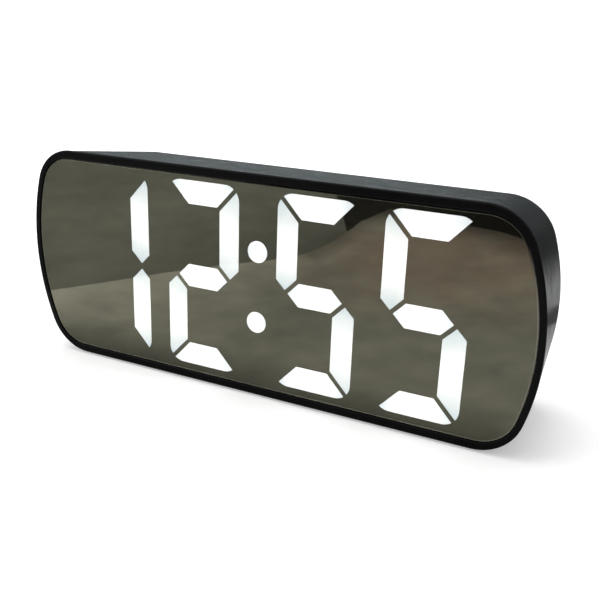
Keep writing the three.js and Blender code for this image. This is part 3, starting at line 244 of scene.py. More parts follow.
def object_place(near):
    return add_node(near, "TexCoord").outputs["Object"]


def coordinate(where, axis):
    return add_node(where, "SeparateXYZ", (where,)).outputs[axis]


def noise(where, scale, detail=3, rough=0.5):
    settings = {"Vector": where, "Scale": scale, "Detail": detail, "Roughness": rough}
    return add_node(where, "TexNoise", settings).outputs["Fac"]


def ranged(value, low, high, to_low=0, to_high=1):
    """A value moved from one range to another, clamped; ends may be numbers or sockets"""
    return add_node(value, "MapRange", (value, low, high, to_low, to_high)).outputs["Result"]


def maths(operation, a, b):
    return add_node(a, "Math", (a, b), operation=operation).outputs[0]


def mix_colour(share, first, second):
    """Two colours mixed by a mask; each may be a colour or a socket"""
    return add_node(share, "Mix", {0: share, 6: first, 7: second}, data_type="RGBA").outputs[2]


def vector_maths(operation, *vectors):
    return add_node(vectors[0], "VectorMath", vectors, operation=operation).outputs["Value"]


def new_group(name, outputs, **inputs):
    """An empty shader group with plain numbers for sockets"""
    group = bpy.data.node_groups.new(name, "ShaderNodeTree")
    for label, value in inputs.items():
        socket = group.interface.new_socket(name=label, in_out="INPUT", socket_type="NodeSocketFloat")
        socket.default_value = value
    for label in outputs:
        group.interface.new_socket(name=label, in_out="OUTPUT", socket_type="NodeSocketFloat")
    return group, group.nodes.new("NodeGroupInput").outputs, group.nodes.new("NodeGroupOutput")


def handling_group():
    """Smudges and fine dust from handling: a roughness that wanders, and a mask of dust specks"""
    group, given, out = new_group("handling", ("Roughness", "Specks"), Clean=0.1, Smudged=0.2, Dust=0.3)
    where = object_place(group)
    smear = maths("MULTIPLY", noise(where, 38, 4, 0.6), noise(where, 210, 2))
    specks = add_node(where, "TexVoronoi", {"Vector": where, "Scale": 900}, feature="F1")
    near = ranged(specks.outputs["Distance"], 0.05, 0.11, 1, 0)
    sparse = ranged(noise(where, 90), 0.5, 0.66, 0, given["Dust"])
    feed(out, {"Roughness": ranged(smear, 0.12, 0.42, given["Clean"], given["Smudged"]),
               "Specks": maths("MULTIPLY", near, sparse)})
    return group


def edge_wear_and_highlight_group():
    """Edges worn by use and given a painted highlight: a mask of the hard edges within a width, broken up by
    noise
    """
    group, given, out = new_group("worn edges with painted highlight", ("Mask",), Width=EDGE_WIDTH, Amount=0.5)
    rounded = add_node(group, "Bevel", {"Radius": given["Width"]}, samples=4).outputs["Normal"]
    flat = add_node(group, "NewGeometry").outputs["Normal"]
    edge = ranged(vector_maths("DOT_PRODUCT", rounded, flat), 0.995, 0.9)
    worn = ranged(noise(object_place(group), 260, 4, 0.65), 0.38, 0.62, 0.15, given["Amount"])
    feed(out, {"Mask": maths("MULTIPLY", edge, worn)})
    return group


def grain_group():
    """The fine spark texture of a plastics mould: a height, and a tone that wanders with it"""
    group, given, out = new_group("mould grain", ("Height", "Tone"), Grain=2600, Drift=60)
    where = object_place(group)
    fine = noise(where, given["Grain"], 2, 0.6)
    broad = noise(where, given["Drift"], 4, 0.55)
    feed(out, {"Height": fine, "Tone": ranged(maths("ADD", fine, broad), 0.7, 1.3)})
    return group


handling, edge_wear_and_highlight, grain = handling_group(), edge_wear_and_highlight_group(), grain_group()


def start_material(name, **values):
    """A material and its shader; even values go straight on the shader's own sockets"""
    material = bpy.data.materials.new(name)
    material.use_nodes = True
    shader = material.node_tree.nodes["Principled BSDF"]
    feed(shader, {label.replace("_", " "): value for label, value in values.items()})
    return material, shader


def place_group(shader, group, **values):
    """A group in a shader's material, with its own values"""
    return add_node(shader, "Group", values, node_tree=group).outputs


def bump(shader, height, strength, distance):
    ripple = add_node(shader, "Bump", {"Height": height, "Strength": strength, "Distance": distance})
    feed(shader, {"Normal": ripple.outputs["Normal"]})


def handled(shader, base, clean, smudged, dust=0, dust_colour=None):
    """Puts a base colour on a shader, under smudges and, where it has a colour, dust"""
    hands = place_group(shader, handling, Clean=clean, Smudged=smudged, Dust=dust)
    if dust_colour:
        base = mix_colour(hands["Specks"], base, dust_colour)
    feed(shader, {"Base Color": base, "Roughness": hands["Roughness"]})


def moulded_plastic(name, dark, light, rough, relief, grain_scale=2600, dust=0.25,
                    edge=(0.05, 0.05, 0.052), edge_wear_and_highlight_amount=0.5, **values):
    """Moulded plastic: a wandering tone, spark grain, lighter edges that are partly wear and partly painted
    highlight, smudges and a little dust
    """
    material, shader = start_material(name, **values)
    texture = place_group(shader, grain, Grain=grain_scale, Drift=55)
    edges = place_group(shader, edge_wear_and_highlight, Width=EDGE_WIDTH, Amount=edge_wear_and_highlight_amount)
    # The lighter edge colour is partly wear and partly a painted highlight along the hard edges
    body = mix_colour(edges["Mask"], mix_colour(texture["Tone"], dark, light), edge)
    handled(shader, body, *rough, dust, (0.2, 0.19, 0.17))
    bump(shader, texture["Height"], relief, FINE_RELIEF)
    return material


rim_shells = [barrel_shell([
    (face_line(0, 0, CORNER_RADIUS, 0), 0.35), (face_line(0, 0, CORNER_RADIUS, FLANGE_DEPTH), 0.1),
    (case_line(FLANGE_DEPTH, 0.8), 0.1), (case_line(COLLAR_DEPTH, 0.8), 0.3),
    (face_line(9.95, 3.34, 3, COLLAR_DEPTH), 0.2), (face_line(9.95, 3.34, 3, LEDGE_DEPTH), 0.1),
    (window_line(1.7, LEDGE_DEPTH), 0), (window_line(1.7, 0), 0.25)])]
boss_places = [(x, z) for x in (-72, 72) for z in (12, -12)]
for x, z in boss_places:
    rim_shells.append(turned([(2.6, 3.3), (2.6, 8.9), (2.5, 9), (1.15, 9), (1.05, 8.9), (1.05, 3.3)],
                             x, z, 24, closed=True))
for side in (-1, 1):
    sections = []
    for share in shares(TONGUE_STEPS):
        z = TONGUE_REACH * (2 * share - 1)
        section = []
        for depth, inset in ((3.3, 1.8), (7.4, 1.8), (7.6, 2), (7.6, 2.8), (7.4, 3), (3.3, 3)):
            radius = SIDE_RADIUS - REAR_SIDE_INSET * depth / CASE_DEPTH - inset
            out = FACE_WIDTH / 2 - SIDE_RADIUS + math.sqrt(radius ** 2 - z * z)
            section.append(place(side * out, depth, z))
        sections.append(section)
    rim_shells.append(looped(sections))
rim_gloss = moulded_plastic(
    "gloss black ABS", (0.003, 0.003, 0.0033), (0.0048, 0.0048, 0.0052), rough=(0.14, 0.26), relief=0.03,
    grain_scale=1500, dust=0.1, edge=0.014, edge_wear_and_highlight_amount=0.2, Specular_IOR_Level=0.05)
new_piece("front_rim_moulding", "front_rim", "rim_black", (rim_gloss, rim_shells))

# Front lens
# A one-millimetre sheet of smoked half-mirror acrylic, laser cut with a fine chamfer and taped
# to the rim's ledge. The mirror coat is on the face, and the cut edge is clear and bright.


def mirror_face():
    """Half-mirror coat: a tinted metal film that lets a quarter of the light through"""
    material, shader = start_material("half mirror coat", Metallic=1.0, Alpha=0.76)
    where = object_place(shader)
    cloud = ranged(noise(where, 26, 4, 0.55), 0.35, 0.65)
    tint = mix_colour(cloud, (0.165, 0.162, 0.12), (0.182, 0.178, 0.132))
    handled(shader, tint, 0.006, 0.03, 0.35, (0.4, 0.4, 0.36))
    bump(shader, noise(where, 14, 2, 0.4), 0.02, 0.0004)
    return material


def clear_edge(name, alpha, roughness):
    """The acrylic's cut edge, with painted shade darkening it along the top where the rim shades it, and its
    uncoated back
    """
    material, shader = start_material(name, Specular_IOR_Level=0.08, Alpha=alpha)
    where = object_place(shader)
    tint = mix_colour(noise(where, 300), (0.26, 0.25, 0.2), (0.38, 0.37, 0.3))
    # Painted shade: the top of the cut edge is mixed towards near-black, a little less at the left, as if
    # the rim shaded it
    upper = ranged(coordinate(where, "Z"), 0.046, 0.056)
    painted_rim_shade = maths("MULTIPLY", upper, ranged(coordinate(where, "X"), -0.02, 0.01, 0.8, 1))
    handled(shader, mix_colour(painted_rim_shade, tint, (0.008, 0.008, 0.007)), roughness, roughness * 2)
    return material


lens_shell = barrel_shell([
    (window_line(2.3, 0.2), 0), (window_line(2.2, 0.2), 0.06), (window_line(1.85, 0.5), 0.06),
    (window_line(1.85, 1.2), 0.06), (window_line(2, 1.2), 0)], closed=False, steps=2)
lens = new_piece("front_lens_sheet", "front_lens", "smoked_mirror", (mirror_face(), [lens_shell]),
                 (clear_edge("acrylic cut edge", 0.9, 0.16), []),
                 (clear_edge("acrylic back", 0.04, 0.05), []), smooth=25)
for face in lens.data.polygons:
    face.material_index = 0 if face.normal.y < -0.9 else 2 if face.normal.y > 0.9 else 1

# Segment mask and figures
# Matt black film printed with windows for four leaning seven-segment digits and two dots. Each
# window holds a milky insert; the lit ones show 12:55, brightest where their light sits.
STROKE_SIDE = 6.3
STROKE_LEVEL = 6.7
SEGMENT_GAP = 1.25
DIGIT_CORNER = 4.6
DIGIT_WIDTH = 23.8
DIGIT_HEIGHT = 55.4
WAIST_TIP = 0.85
TIP_SHARE = 0.56
LEAN_SHARE = 0.045
DIGIT_PLACES = (-48.81, -17.93, 17.93, 48.81)
DOT_RADIUS = 3.1
DOT_RISE = 10.3
MASK_FRONT = 1.3
MASK_BACK = 1.5
INSERT_FRONT = 1.33
INSERT_BACK = 1.55
SHOWN_TIME = "1255"
LIT_SEGMENTS = {"1": "bc", "2": "abged", "5": "afgcd"}


def rounded_corners(corners, radii, steps=5):
    """A polygon of (x, z) corners, each rounded to its radius"""
    points = []
    for i, (corner, radius) in enumerate(zip(corners, radii)):
        corner = Vector(corner)
        back = (Vector(corners[i - 1]) - corner).normalized()
        on = (Vector(corners[(i + 1) % len(corners)]) - corner).normalized()
        half = math.acos(max(-1, min(1, back.dot(on)))) / 2
        trim = radius / math.tan(half)
        middle = corner + (back + on).normalized() * radius / math.sin(half)
        start = corner + back * trim - middle
        end = corner + on * trim - middle
        sweep = math.atan2(start.x * end.y - start.y * end.x, start.dot(end))
        first = math.atan2(start.y, start.x)
        points += arc(radius, middle.x, middle.y, first, first + sweep, steps)
    return points


def segment_outlines():
    """The seven segments of one digit, named a to g, with half the gap taken off each edge"""
    a, b = DIGIT_WIDTH / 2, DIGIT_HEIGHT / 2
    inner_x, inner_z = a - STROKE_SIDE, b - STROKE_LEVEL
    mitre = math.hypot(STROKE_SIDE, STROKE_LEVEL)
    shift_x = SEGMENT_GAP / 2 * mitre / STROKE_LEVEL
    shift_z = SEGMENT_GAP / 2 * mitre / STROKE_SIDE
    tip = inner_x + STROKE_SIDE * TIP_SHARE
    bar_tip = tip + WAIST_TIP - SEGMENT_GAP * math.sqrt(2)
    half = STROKE_LEVEL / 2
    centre = (a - DIGIT_CORNER, b - DIGIT_CORNER)

    def mitre_angle(*point):
        """Where the mitred edge through a point meets the arc of the digit's outer corner"""
        edge = Vector((STROKE_SIDE / mitre, STROKE_LEVEL / mitre))
        start = Vector(point) - Vector(centre)
        across = start.x * edge.y - start.y * edge.x
        end = start + edge * (math.sqrt(DIGIT_CORNER ** 2 - across ** 2) - start.dot(edge))
        return math.atan2(end.y, end.x)

    corner = arc(DIGIT_CORNER, *centre, mitre_angle(inner_x - shift_x, inner_z), math.pi / 2, 8)
    top = [(inner_x - shift_x, inner_z)] + corner
    top += [(-x, z) for x, z in reversed(top)]
    side = [(inner_x, WAIST_TIP + tip - inner_x), (tip, WAIST_TIP), (a, WAIST_TIP + a - tip)]
    side += arc(DIGIT_CORNER, *centre, 0, mitre_angle(inner_x, inner_z - shift_z), 8)
    side += [(inner_x, inner_z - shift_z)]
    bar = [(bar_tip, 0), (bar_tip - half, half), (-bar_tip + half, half),
           (-bar_tip, 0), (-bar_tip + half, -half), (bar_tip - half, -half)]
    outlines = {}
    for key, shape, across, up in (
            ("a", top, 1, 1), ("b", side, 1, 1), ("c", side, 1, -1), ("d", top, 1, -1),
            ("e", side, -1, -1), ("f", side, -1, 1), ("g", bar, 1, 1)):
        outlines[key] = [(across * x, up * z) for x, z in shape][::across * up]
    return outlines


def leaned(outline, x):
    return [(x + a + LEAN_SHARE * b, b) for a, b in outline]


def as_shell(mesh):
    return [v.co.copy() for v in mesh.vertices], [tuple(p.vertices) for p in mesh.polygons]


def settled(item):
    """The mesh that an object's curve or modifiers make; the object itself goes"""
    bpy.context.view_layer.update()
    mesh = bpy.data.meshes.new_from_object(item.evaluated_get(bpy.context.evaluated_depsgraph_get()))
    bpy.data.objects.remove(item)
    return mesh


def pierced_plate(outline, holes, front, back, ease=0):
    """A flat plate with holes, made from a filled curve, its rims eased by a bevel"""
    curve = bpy.data.curves.new("plate", "CURVE")
    curve.dimensions = "2D"
    curve.fill_mode = "BOTH"
    curve.extrude = (back - front) / 2 - ease
    curve.bevel_depth = ease
    curve.bevel_resolution = 2
    curve.offset = -ease
    for k, points in enumerate([outline] + holes):
        area = sum(p[0] * q[1] - q[0] * p[1] for p, q in zip(points, points[1:] + points[:1]))
        if (area > 0) == (k > 0):
            points = points[::-1]
        line = curve.splines.new("POLY")
        line.points.add(len(points) - 1)
        line.use_cyclic_u = True
        for point, (x, z) in zip(line.points, points):
            point.co = (x, z, 0, 1)
    mesh = settled(linked("plate", curve))
    for vertex in mesh.vertices:
        vertex.co = place(vertex.co.x, (front + back) / 2 - vertex.co.z, vertex.co.y)
    return as_shell(edited(
        mesh, lambda shape: bmesh.ops.remove_doubles(shape, verts=shape.verts, dist=0.000002),
        lambda shape: bmesh.ops.dissolve_degenerate(shape, dist=0.000002, edges=shape.edges)))


def flat_ring(line):
    """A barrel ring as flat (x, z) points in millimetres"""
    middle = place(0, 0, 0)
    return [((p.x - middle.x) / MM, (p.z - middle.z) / MM) for p in barrel_ring(*line)]


segments = segment_outlines()
windows = [leaned(outline, x) for x in DIGIT_PLACES for outline in segments.values()]
dots = [leaned(circle(DOT_RADIUS, 0, z), 0) for z in (DOT_RISE, -DOT_RISE)]
mask_film = moulded_plastic(
    "matt black film", (0.0022, 0.0022, 0.002), (0.0035, 0.0035, 0.0032), rough=(0.5, 0.65), relief=0.05,
    dust=0, edge_wear_and_highlight_amount=0)
mask_shell = pierced_plate(flat_ring(window_line(2.25, 0)), windows + dots, MASK_FRONT, MASK_BACK)
new_piece("segment_mask_film", "segment_mask", "mask_black", (mask_film, [mask_shell]))


def figure_piece(name, parts, material, share=1.0):
    """Milky inserts as one piece; a flat map holds each point's distance from its light"""
    shells, reaches = [], []
    for outline, upright in parts:
        xs, zs = zip(*outline)
        mid_x, mid_z = (min(xs) + max(xs)) / 2, (min(zs) + max(zs)) / 2
        shrunk = [(mid_x + (x - mid_x) * share, mid_z + (z - mid_z) * share) for x, z in outline]
        shells.append(stacked([(shrunk, INSERT_FRONT), (shrunk, INSERT_BACK)]))
        reach = (max(zs) - min(zs)) / 2 if upright else (max(xs) - min(xs)) / 2
        reaches += [((z - mid_z) if upright else (x - mid_x)) / reach for x, z in shrunk] * 2
    piece = new_piece(name, None, "diffuser_white", (material, shells))
    layer = piece.data.uv_layers.new(name="distance from the light")
    for loop in piece.data.loops:
        layer.data[loop.index].uv = (0.5 + 0.5 * reaches[loop.vertex_index], 0.5)


def lit_insert(name, edge_tint, start, strength):
    """A lit insert: white over its light, cooler and dimmer towards its ends"""
    material, shader = start_material(name, Roughness=0.5, Emission_Strength=strength)
    flat = add_node(shader, "UVMap", uv_map="distance from the light").outputs["UV"]
    away = maths("ABSOLUTE", maths("SUBTRACT", coordinate(flat, "X"), 0.5), 0)
    uneven = ranged(noise(object_place(shader), 120), 0.3, 0.7, -0.06, 0.06)
    fade = ranged(maths("ADD", away, uneven), start, 0.5)
    feed(shader, {"Emission Color": mix_colour(fade, 1, edge_tint),
                  "Base Color": mix_colour(fade, 0.8, (0.66, 0.69, 0.7))})
    return material


lit_upright = lit_insert("lit upright insert", (0.56, 0.65, 0.69), 0.1, 4.1)
lit_level = lit_insert("lit level insert", (0.72, 0.79, 0.82), 0.24, 4.3)
dark_insert = moulded_plastic(
    "dark milky insert", (0.004, 0.004, 0.0038), (0.006, 0.006, 0.0056), rough=(0.5, 0.6), relief=0.05,
    dust=0, edge_wear_and_highlight_amount=0)
for number, (x, figure) in enumerate(zip(DIGIT_PLACES, SHOWN_TIME), 1):
    lit = LIT_SEGMENTS[figure]
    made = {key: (leaned(outline, x), key in "bcef") for key, outline in segments.items()}
    for label, keys, material in (("upright", "bcef", lit_upright), ("level", "agd", lit_level)):
        chosen = [made[key] for key in keys if key in lit]
        if chosen:
            figure_piece(f"digit_{number}_lit_{label}", chosen, material)
    figure_piece(f"digit_{number}_unlit", [made[key] for key in made if key not in lit], dark_insert, 1.02)
figure_piece("colon_lit", [(dot, False) for dot in dots], lit_level)

# Diffuser film and reflector
# A milky polyester film lies on the rim's ledge. The white styrene block behind it is moulded
# with one light well for each window. Both keep the shape that they have in the frame.


def finish_node(node, material):
    """Gives a part that keeps its frame shape the finish of the real one"""
    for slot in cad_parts[node].material_slots:
        slot.material = material


finish_node("diffuser_film", moulded_plastic(
    "milky polyester", (0.6, 0.6, 0.59), (0.7, 0.7, 0.69), rough=(0.3, 0.45), relief=0.05, dust=0.05,
    edge=(0.76, 0.76, 0.75), edge_wear_and_highlight_amount=0.2))
finish_node("reflector_block", moulded_plastic(
    "white styrene", (0.68, 0.68, 0.66), (0.77, 0.77, 0.75), rough=(0.4, 0.52), relief=0.1, dust=0.05,
    edge=(0.82, 0.82, 0.8), edge_wear_and_highlight_amount=0.3))

# LED board
# A green fibreglass board with one small white light in each well and tinned vias. Four
# plated screws hold it to the rim's bosses, and the clock chip and its crystal sit on its back.
BOARD_BACK = 10.3
LIGHTS_BACK = 9.1
CHIP_PLACE = (0, 8)
LEGS_PER_SIDE = 10
LEG_PITCH = 0.8
LEG_HALF = 0.17
LEG_PARTS = ((4.725, 0.275, 0.1, 0.26), (4.475, 0.125, 0.1, 0.95), (4.25, 0.25, 0.8, 0.95))
CRYSTAL_PLACE = (12, 8)


def circuit_board(name, lights=False):
    """Solder mask over copper tracks, with tinned vias and, on the LED board, its lights"""
    material, shader = start_material(name)
    where = object_place(shader)
    flat = add_node(shader, "Mapping", {"Vector": where, "Rotation": (math.radians(90), 0, 0)})
    tracks = []
    for scale, width in ((95, 0.02), (210, 0.03)):
        grid = add_node(shader, "TexBrick", {
            "Vector": flat.outputs["Vector"], "Scale": scale, "Mortar Size": width, "Mortar Smooth": 0.15},
            offset=0.37, squash=0.7, squash_frequency=3)
        tracks.append(grid.outputs["Fac"])
    broken = ranged(noise(where, 160, 2), 0.47, 0.5)
    track = maths("MAXIMUM", maths("MULTIPLY", tracks[0], broken), tracks[1])
    spots = add_node(shader, "TexVoronoi", {"Vector": where, "Scale": 190}, feature="F1")
    via = ranged(spots.outputs["Distance"], 0.07, 0.1, 1, 0)
    tone = noise(where, 70, 4)
    base = mix_colour(tone, (0.008, 0.05, 0.018), (0.012, 0.068, 0.026))
    base = mix_colour(track, base, (0.02, 0.11, 0.04))
    base = mix_colour(via, base, (0.45, 0.44, 0.4))
    if lights:
        ahead = place(0, LIGHTS_BACK, 0).y
        package = ranged(coordinate(where, "Y"), ahead - 0.00006, ahead - 0.00002, 1, 0)
        base = mix_colour(package, base, (0.75, 0.7, 0.42))
    feed(shader, {"Base Color": base, "Roughness": ranged(tone, 0.3, 0.7, 0.22, 0.36)})
    bump(shader, maths("ADD", track, via), 0.3, FINE_RELIEF)
    return material


finish_node("led_board", circuit_board("LED board laminate", lights=True))


def plated_metal(name, dark, light, rough, brushed=0.0):
    """Plated metal: a tone that clouds, smudges, dust and, if asked, fine lines of its drawing"""
    material, shader = start_material(name, Metallic=1.0)
    where = object_place(shader)
    handled(shader, mix_colour(noise(where, 420, 4, 0.6), dark, light), *rough, 0.15, (0.3, 0.29, 0.27))
    stretched = add_node(shader, "Mapping", {"Vector": where, "Scale": (0.06, 1, 1)})
    bump(shader, noise(stretched.outputs["Vector"], 9000, 2), 0.06 + brushed, 0.00002)
    return material


def carved(shell, cutters):
    """A closed shell with other closed shells cut out of it"""
    blank, *tools = [linked("blank", as_mesh(*item)) for item in [shell] + cutters]
    for tool in tools:
        step = blank.modifiers.new("cut", "BOOLEAN")
        step.object = tool
        step.solver = "EXACT"
    result = as_shell(settled(blank))
    for tool in tools:
        bpy.data.objects.remove(tool)
    return result


zinc_steel = plated_metal("zinc plated steel", (0.42, 0.42, 0.43), (0.56, 0.56, 0.57), (0.24, 0.4))


def screws(stem, places, under, towards, length, shank=0.85, head=2.2, height=1.4, pitch=0.6):
    """Pan-head screws with a cross recess and a rolled thread, from the undersides of their heads"""
    core = shank * 0.8
    profile = [(0.02, -height), (head * 0.5, -height), (head * 0.78, -height * 0.86),
               (head * 0.94, -height * 0.6), (head, -height * 0.3), (head, -0.04), (head - 0.04, 0),
               (shank * 0.95, 0), (shank * 0.86, 0.4)]
    for start in [0.5 + k * pitch for k in range(int((length - shank - 0.5) / pitch))]:
        profile += [(core, start), (core, start + pitch * 0.3),
                    (shank, start + pitch * 0.55), (shank, start + pitch * 0.65)]
    profile += [(core, length - shank), (shank * 0.3, length), (0.02, length)]
    profile = [(radius, under + towards * along) for radius, along in profile]
    top, floor = under - towards * (height + 0.3), under - towards * height * 0.3
    reach, half = head * 0.62, head * 0.13
    for number, (x, z) in enumerate(places, 1):
        cross = [stacked([(oblong(x, z, a, b), top), (oblong(x, z, a / 2, b / 2), floor)])
                 for a, b in ((reach, half), (half, reach))]
        node = f"{stem}_{number}"
        body = carved(turned(profile, x, z), cross)
        new_piece(f"{node}_turned", node, "steel", (zinc_steel, [body]), smooth=40)


screws("board_screw", boss_places, BOARD_BACK + 0.1, -1, 5)


def boxed(x, z, half_x, half_z, front, back):
    return stacked([(oblong(x, z, half_x, half_z), depth) for depth in (front, back)])


def eased_box(x, z, half_x, half_z, front, back, ease, steps=2):
    """A box whose edges are all rounded"""
    mesh = as_mesh(*boxed(x, z, half_x, half_z, front, back))
    return as_shell(edited(mesh, lambda shape: bmesh.ops.bevel(
        shape, geom=shape.edges[:], offset=ease * MM, segments=steps, profile=0.5, affect="EDGES")))


def boxed_ring(x, z, half_x, half_z, corner, grow=0):
    """A flat rectangle outline with round corners, grown by a width all round"""
    return rounded_corners(oblong(x, z, half_x + grow, half_z + grow), [corner + grow] * 4, 6)


chip_body = carved(eased_box(*CHIP_PLACE, 4.2, 4.2, BOARD_BACK + 0.25, BOARD_BACK + 1.6, 0.25),
                   [turned([(0.45, BOARD_BACK + 1.5), (0.5, BOARD_BACK + 2)], -3.2, 11.2, 20)])
chip_legs = []
for k in range(LEGS_PER_SIDE):
    for side in (-1, 1):
        for order in (1, -1):
            for out, half, low, high in LEG_PARTS:
                x, z = (side * out, LEG_PITCH * (k - (LEGS_PER_SIDE - 1) / 2))[::order]
                chip_legs.append(eased_box(x + CHIP_PLACE[0], z + CHIP_PLACE[1], *(half, LEG_HALF)[::order],
                                           BOARD_BACK + low, BOARD_BACK + high, 0.03, 1))
epoxy = moulded_plastic(
    "chip epoxy", (0.009, 0.009, 0.01), (0.014, 0.014, 0.015), rough=(0.42, 0.55), relief=0.2,
    grain_scale=4200, dust=0.1, edge=0.03, edge_wear_and_highlight_amount=0.3)
new_piece("clock_chip_package", "clock_chip", "chip_black", (epoxy, [chip_body]), (zinc_steel, chip_legs))
can_levels = ((0.1, 0.1), (0.2, 0.2), (0.2, 0.4), (0, 0.5), (0, 2.1), (-0.12, 2.38), (-0.4, 2.5))
can_shell = stacked([(boxed_ring(*CRYSTAL_PLACE, 1.6, 3.8, 1.55, grow), BOARD_BACK + rise)
                     for grow, rise in can_levels])
can_metal = plated_metal("nickel plated can", (0.5, 0.48, 0.44), (0.62, 0.6, 0.56), (0.16, 0.3), 0.1)
new_piece("crystal_drawn_can", "crystal_can", "steel", (can_metal, [can_shell]))

# Housing
# A tapered sleeve moulded in satin charcoal ABS. The rim's collar sits in a rebate behind its
# front edge, and four screw posts on ribs stand inside for the rear cover.
HOUSING_FRONT = 0.9
HOUSING_BACK = 33.7
WALL = 1.6
REBATE_WALL = 0.6
REBATE_DEPTH = 3.8
POST_X = 61
housing_shells = [barrel_shell([
    (case_line(HOUSING_FRONT, 0), 0.22), (case_line(HOUSING_BACK, 0), 0.35),
    (case_line(HOUSING_BACK, WALL), 0.15), (case_line(REBATE_DEPTH, WALL), 0.1),
    (case_line(REBATE_DEPTH, REBATE_WALL), 0.1), (case_line(HOUSING_FRONT, REBATE_WALL), 0.15)])]
post_places = [(x, z) for x in (-POST_X, POST_X) for z in (18.6, -22.2)]
post = [(3.2, 22.5), (3.2, 31.3), (3, 31.5), (1.7, 31.5),
        (1.5, 31.3), (1.5, 23.5), (0.01, 23.5), (0.01, 22.5)]
for x, z in post_places:
    housing_shells.append(turned(post, x, z, closed=True))
    start, front_wall, back_wall = (z + 2, 27, 25.4) if z > 0 else (z - 2, -29.3, -29.1)
    housing_shells.append(stacked([
        (oblong(x, (start + wall) / 2, 0.8, (wall - start) / 2), depth)
        for depth, wall in ((22.6, front_wall), (31.4, back_wall))]))
case_satin = moulded_plastic(
    "satin charcoal ABS", (0.0125, 0.0145, 0.0155), (0.0185, 0.021, 0.0222), rough=(0.17, 0.27), relief=0.25,
    grain_scale=3200, dust=0.2, edge=(0.1, 0.108, 0.11), edge_wear_and_highlight_amount=0.8, Specular_IOR_Level=0.3,
    Specular_Tint=(0.8, 0.97, 1))
new_piece("housing_sleeve", "housing", "case_black", (case_satin, housing_shells))

# Rear cover
# The back panel, moulded in fine-grained black ABS. It carries the battery pocket, the wells of
# four screws, the holes for keys, socket and sounder, and a lip that sits inside the housing.
COVER_FRONT = 34
COVER_EDGE = 1
HOLE_EASE = 0.22
FRONT_EASE_SHARE = 0.45
POCKET_X = 11
POCKET_Z = -2
POCKET_LENGTH = 51
POCKET_HEIGHT = 34.3
POCKET_CORNER = 1.5
POCKET_FLOOR = 22.9
PLATE_REACH = 25.1
PLATE_BACK = 32.75
CELL_ROWS = (9.2, -2, -13.2)
KEY_X = -30.5
KEY_SHAPES = {
    "snooze": (KEY_X, 8.77, 19, 6.8), "mode": (KEY_X - 6.5, -2.25, 7.4, 7.4),
    "alarm": (KEY_X + 6.5, -2.25, 7.4, 7.4), "up": (KEY_X - 6.5, -13.57, 7.4, 7.4),
    "down": (KEY_X + 6.5, -13.57, 7.4, 7.4),
}
SOCKET_Z = -22.13
SOCKET_SHAPE = (KEY_X, SOCKET_Z, 9, 3.3)
KEY_POSTS = ((KEY_X - 9.4, SOCKET_Z), (KEY_X + 9.4, SOCKET_Z), (KEY_X, 17.58))
SOUNDER_X = 56.45
TAB_PLACES = (POCKET_X - 17, POCKET_X + 17)


def capsule(x, z, width, height, grow=0, steps=20):
    """A flat outline with half-round ends; as wide as it is high, it is a circle"""
    reach = (width - height) / 2
    radius = height / 2 + grow
    if reach <= 0:
        return circle(radius, x, z, 2 * steps)
    right = arc(radius, x + reach, z, -math.pi / 2, math.pi / 2, steps)
    return right + arc(radius, x - reach, z, math.pi / 2, 1.5 * math.pi, steps)


def level_flats(shape):
    """Keeps the shading of faces that look straight back or forward level up to their edges"""
    for edge in shape.edges:
        normals = [face.normal for face in edge.link_faces]
        if max(abs(normal.y) for normal in normals) > 0.99999 and normals[0].dot(normals[-1]) < 0.9999:
            edge.smooth = False


grille_places = [(SOUNDER_X, POCKET_Z)] + circle(4, SOUNDER_X, POCKET_Z, 6)
skin_outline = flat_ring(case_line(CASE_DEPTH, COVER_EDGE - HOLE_EASE))
skin_holes = [boxed_ring(POCKET_X, POCKET_Z, 27, 18.65, 2.8)]
skin_holes += [capsule(*shape, 0.35) for shape in KEY_SHAPES.values()]
skin_holes += [capsule(*SOCKET_SHAPE, 0.2)]
skin_holes += [circle(3.3, x, z, 36) for x, z in post_places]
skin_holes += [circle(0.9, x, z, 24) for x, z in grille_places]
skin_points, skin_faces = pierced_plate(skin_outline, skin_holes, COVER_FRONT, CASE_DEPTH, HOLE_EASE)
# The outer rim follows the tapered case and gets a wider ease behind than the holes have
for k, point in enumerate(skin_points):
    flat = (point.x / MM, point.z / MM - place(0, 0, 0).z / MM)
    near, index = min((math.dist(flat, corner), i) for i, corner in enumerate(skin_outline))
    from_front = point.y / MM + (CASE_DEPTH + KEY_PROUD) / 2 - COVER_FRONT
    from_back = CASE_DEPTH - COVER_FRONT - from_front
    if near < HOLE_EASE + 0.05 and from_front > 0.001:
        depth = COVER_FRONT + from_front * FRONT_EASE_SHARE
        if from_back < from_front:
            depth = CASE_DEPTH - from_back * COVER_EDGE / HOLE_EASE
        skin_points[k] = barrel_ring(*case_line(depth, near * COVER_EDGE / HOLE_EASE))[index]
notches = [boxed(x, -20.5, 3.4, 2.05, 32.8, 34.9) for x in TAB_PLACES]
finger_well = turned([(5.5, 34.9), (5.9, 35.05), (6, 35.4), (6, 37)], POCKET_X, 16.35, 48)
tail_slots = [boxed(POCKET_X + side * 25.09, z, 0.39, 1.2, 21, 23.4)
              for side, z in ((1, CELL_ROWS[0]), (-1, CELL_ROWS[2]))]
cup = stacked([
    (boxed_ring(POCKET_X, POCKET_Z, POCKET_LENGTH / 2, POCKET_HEIGHT / 2, POCKET_CORNER, grow), depth)
    for grow, depth in ((2.1, 21.4), (2.4, 21.7), (2.4, 34.3), (0.2, 34.3), (0, 34.1), (0, 23.2),
                        (-0.3, POCKET_FLOOR))])
lip = [(case_line(depth, inset), 0) for depth, inset in (
    (32.6, 1.8), (34.2, 1.8), (34.2, 3), (32.5, 3), (32.4, 2.9), (32.4, 2))]
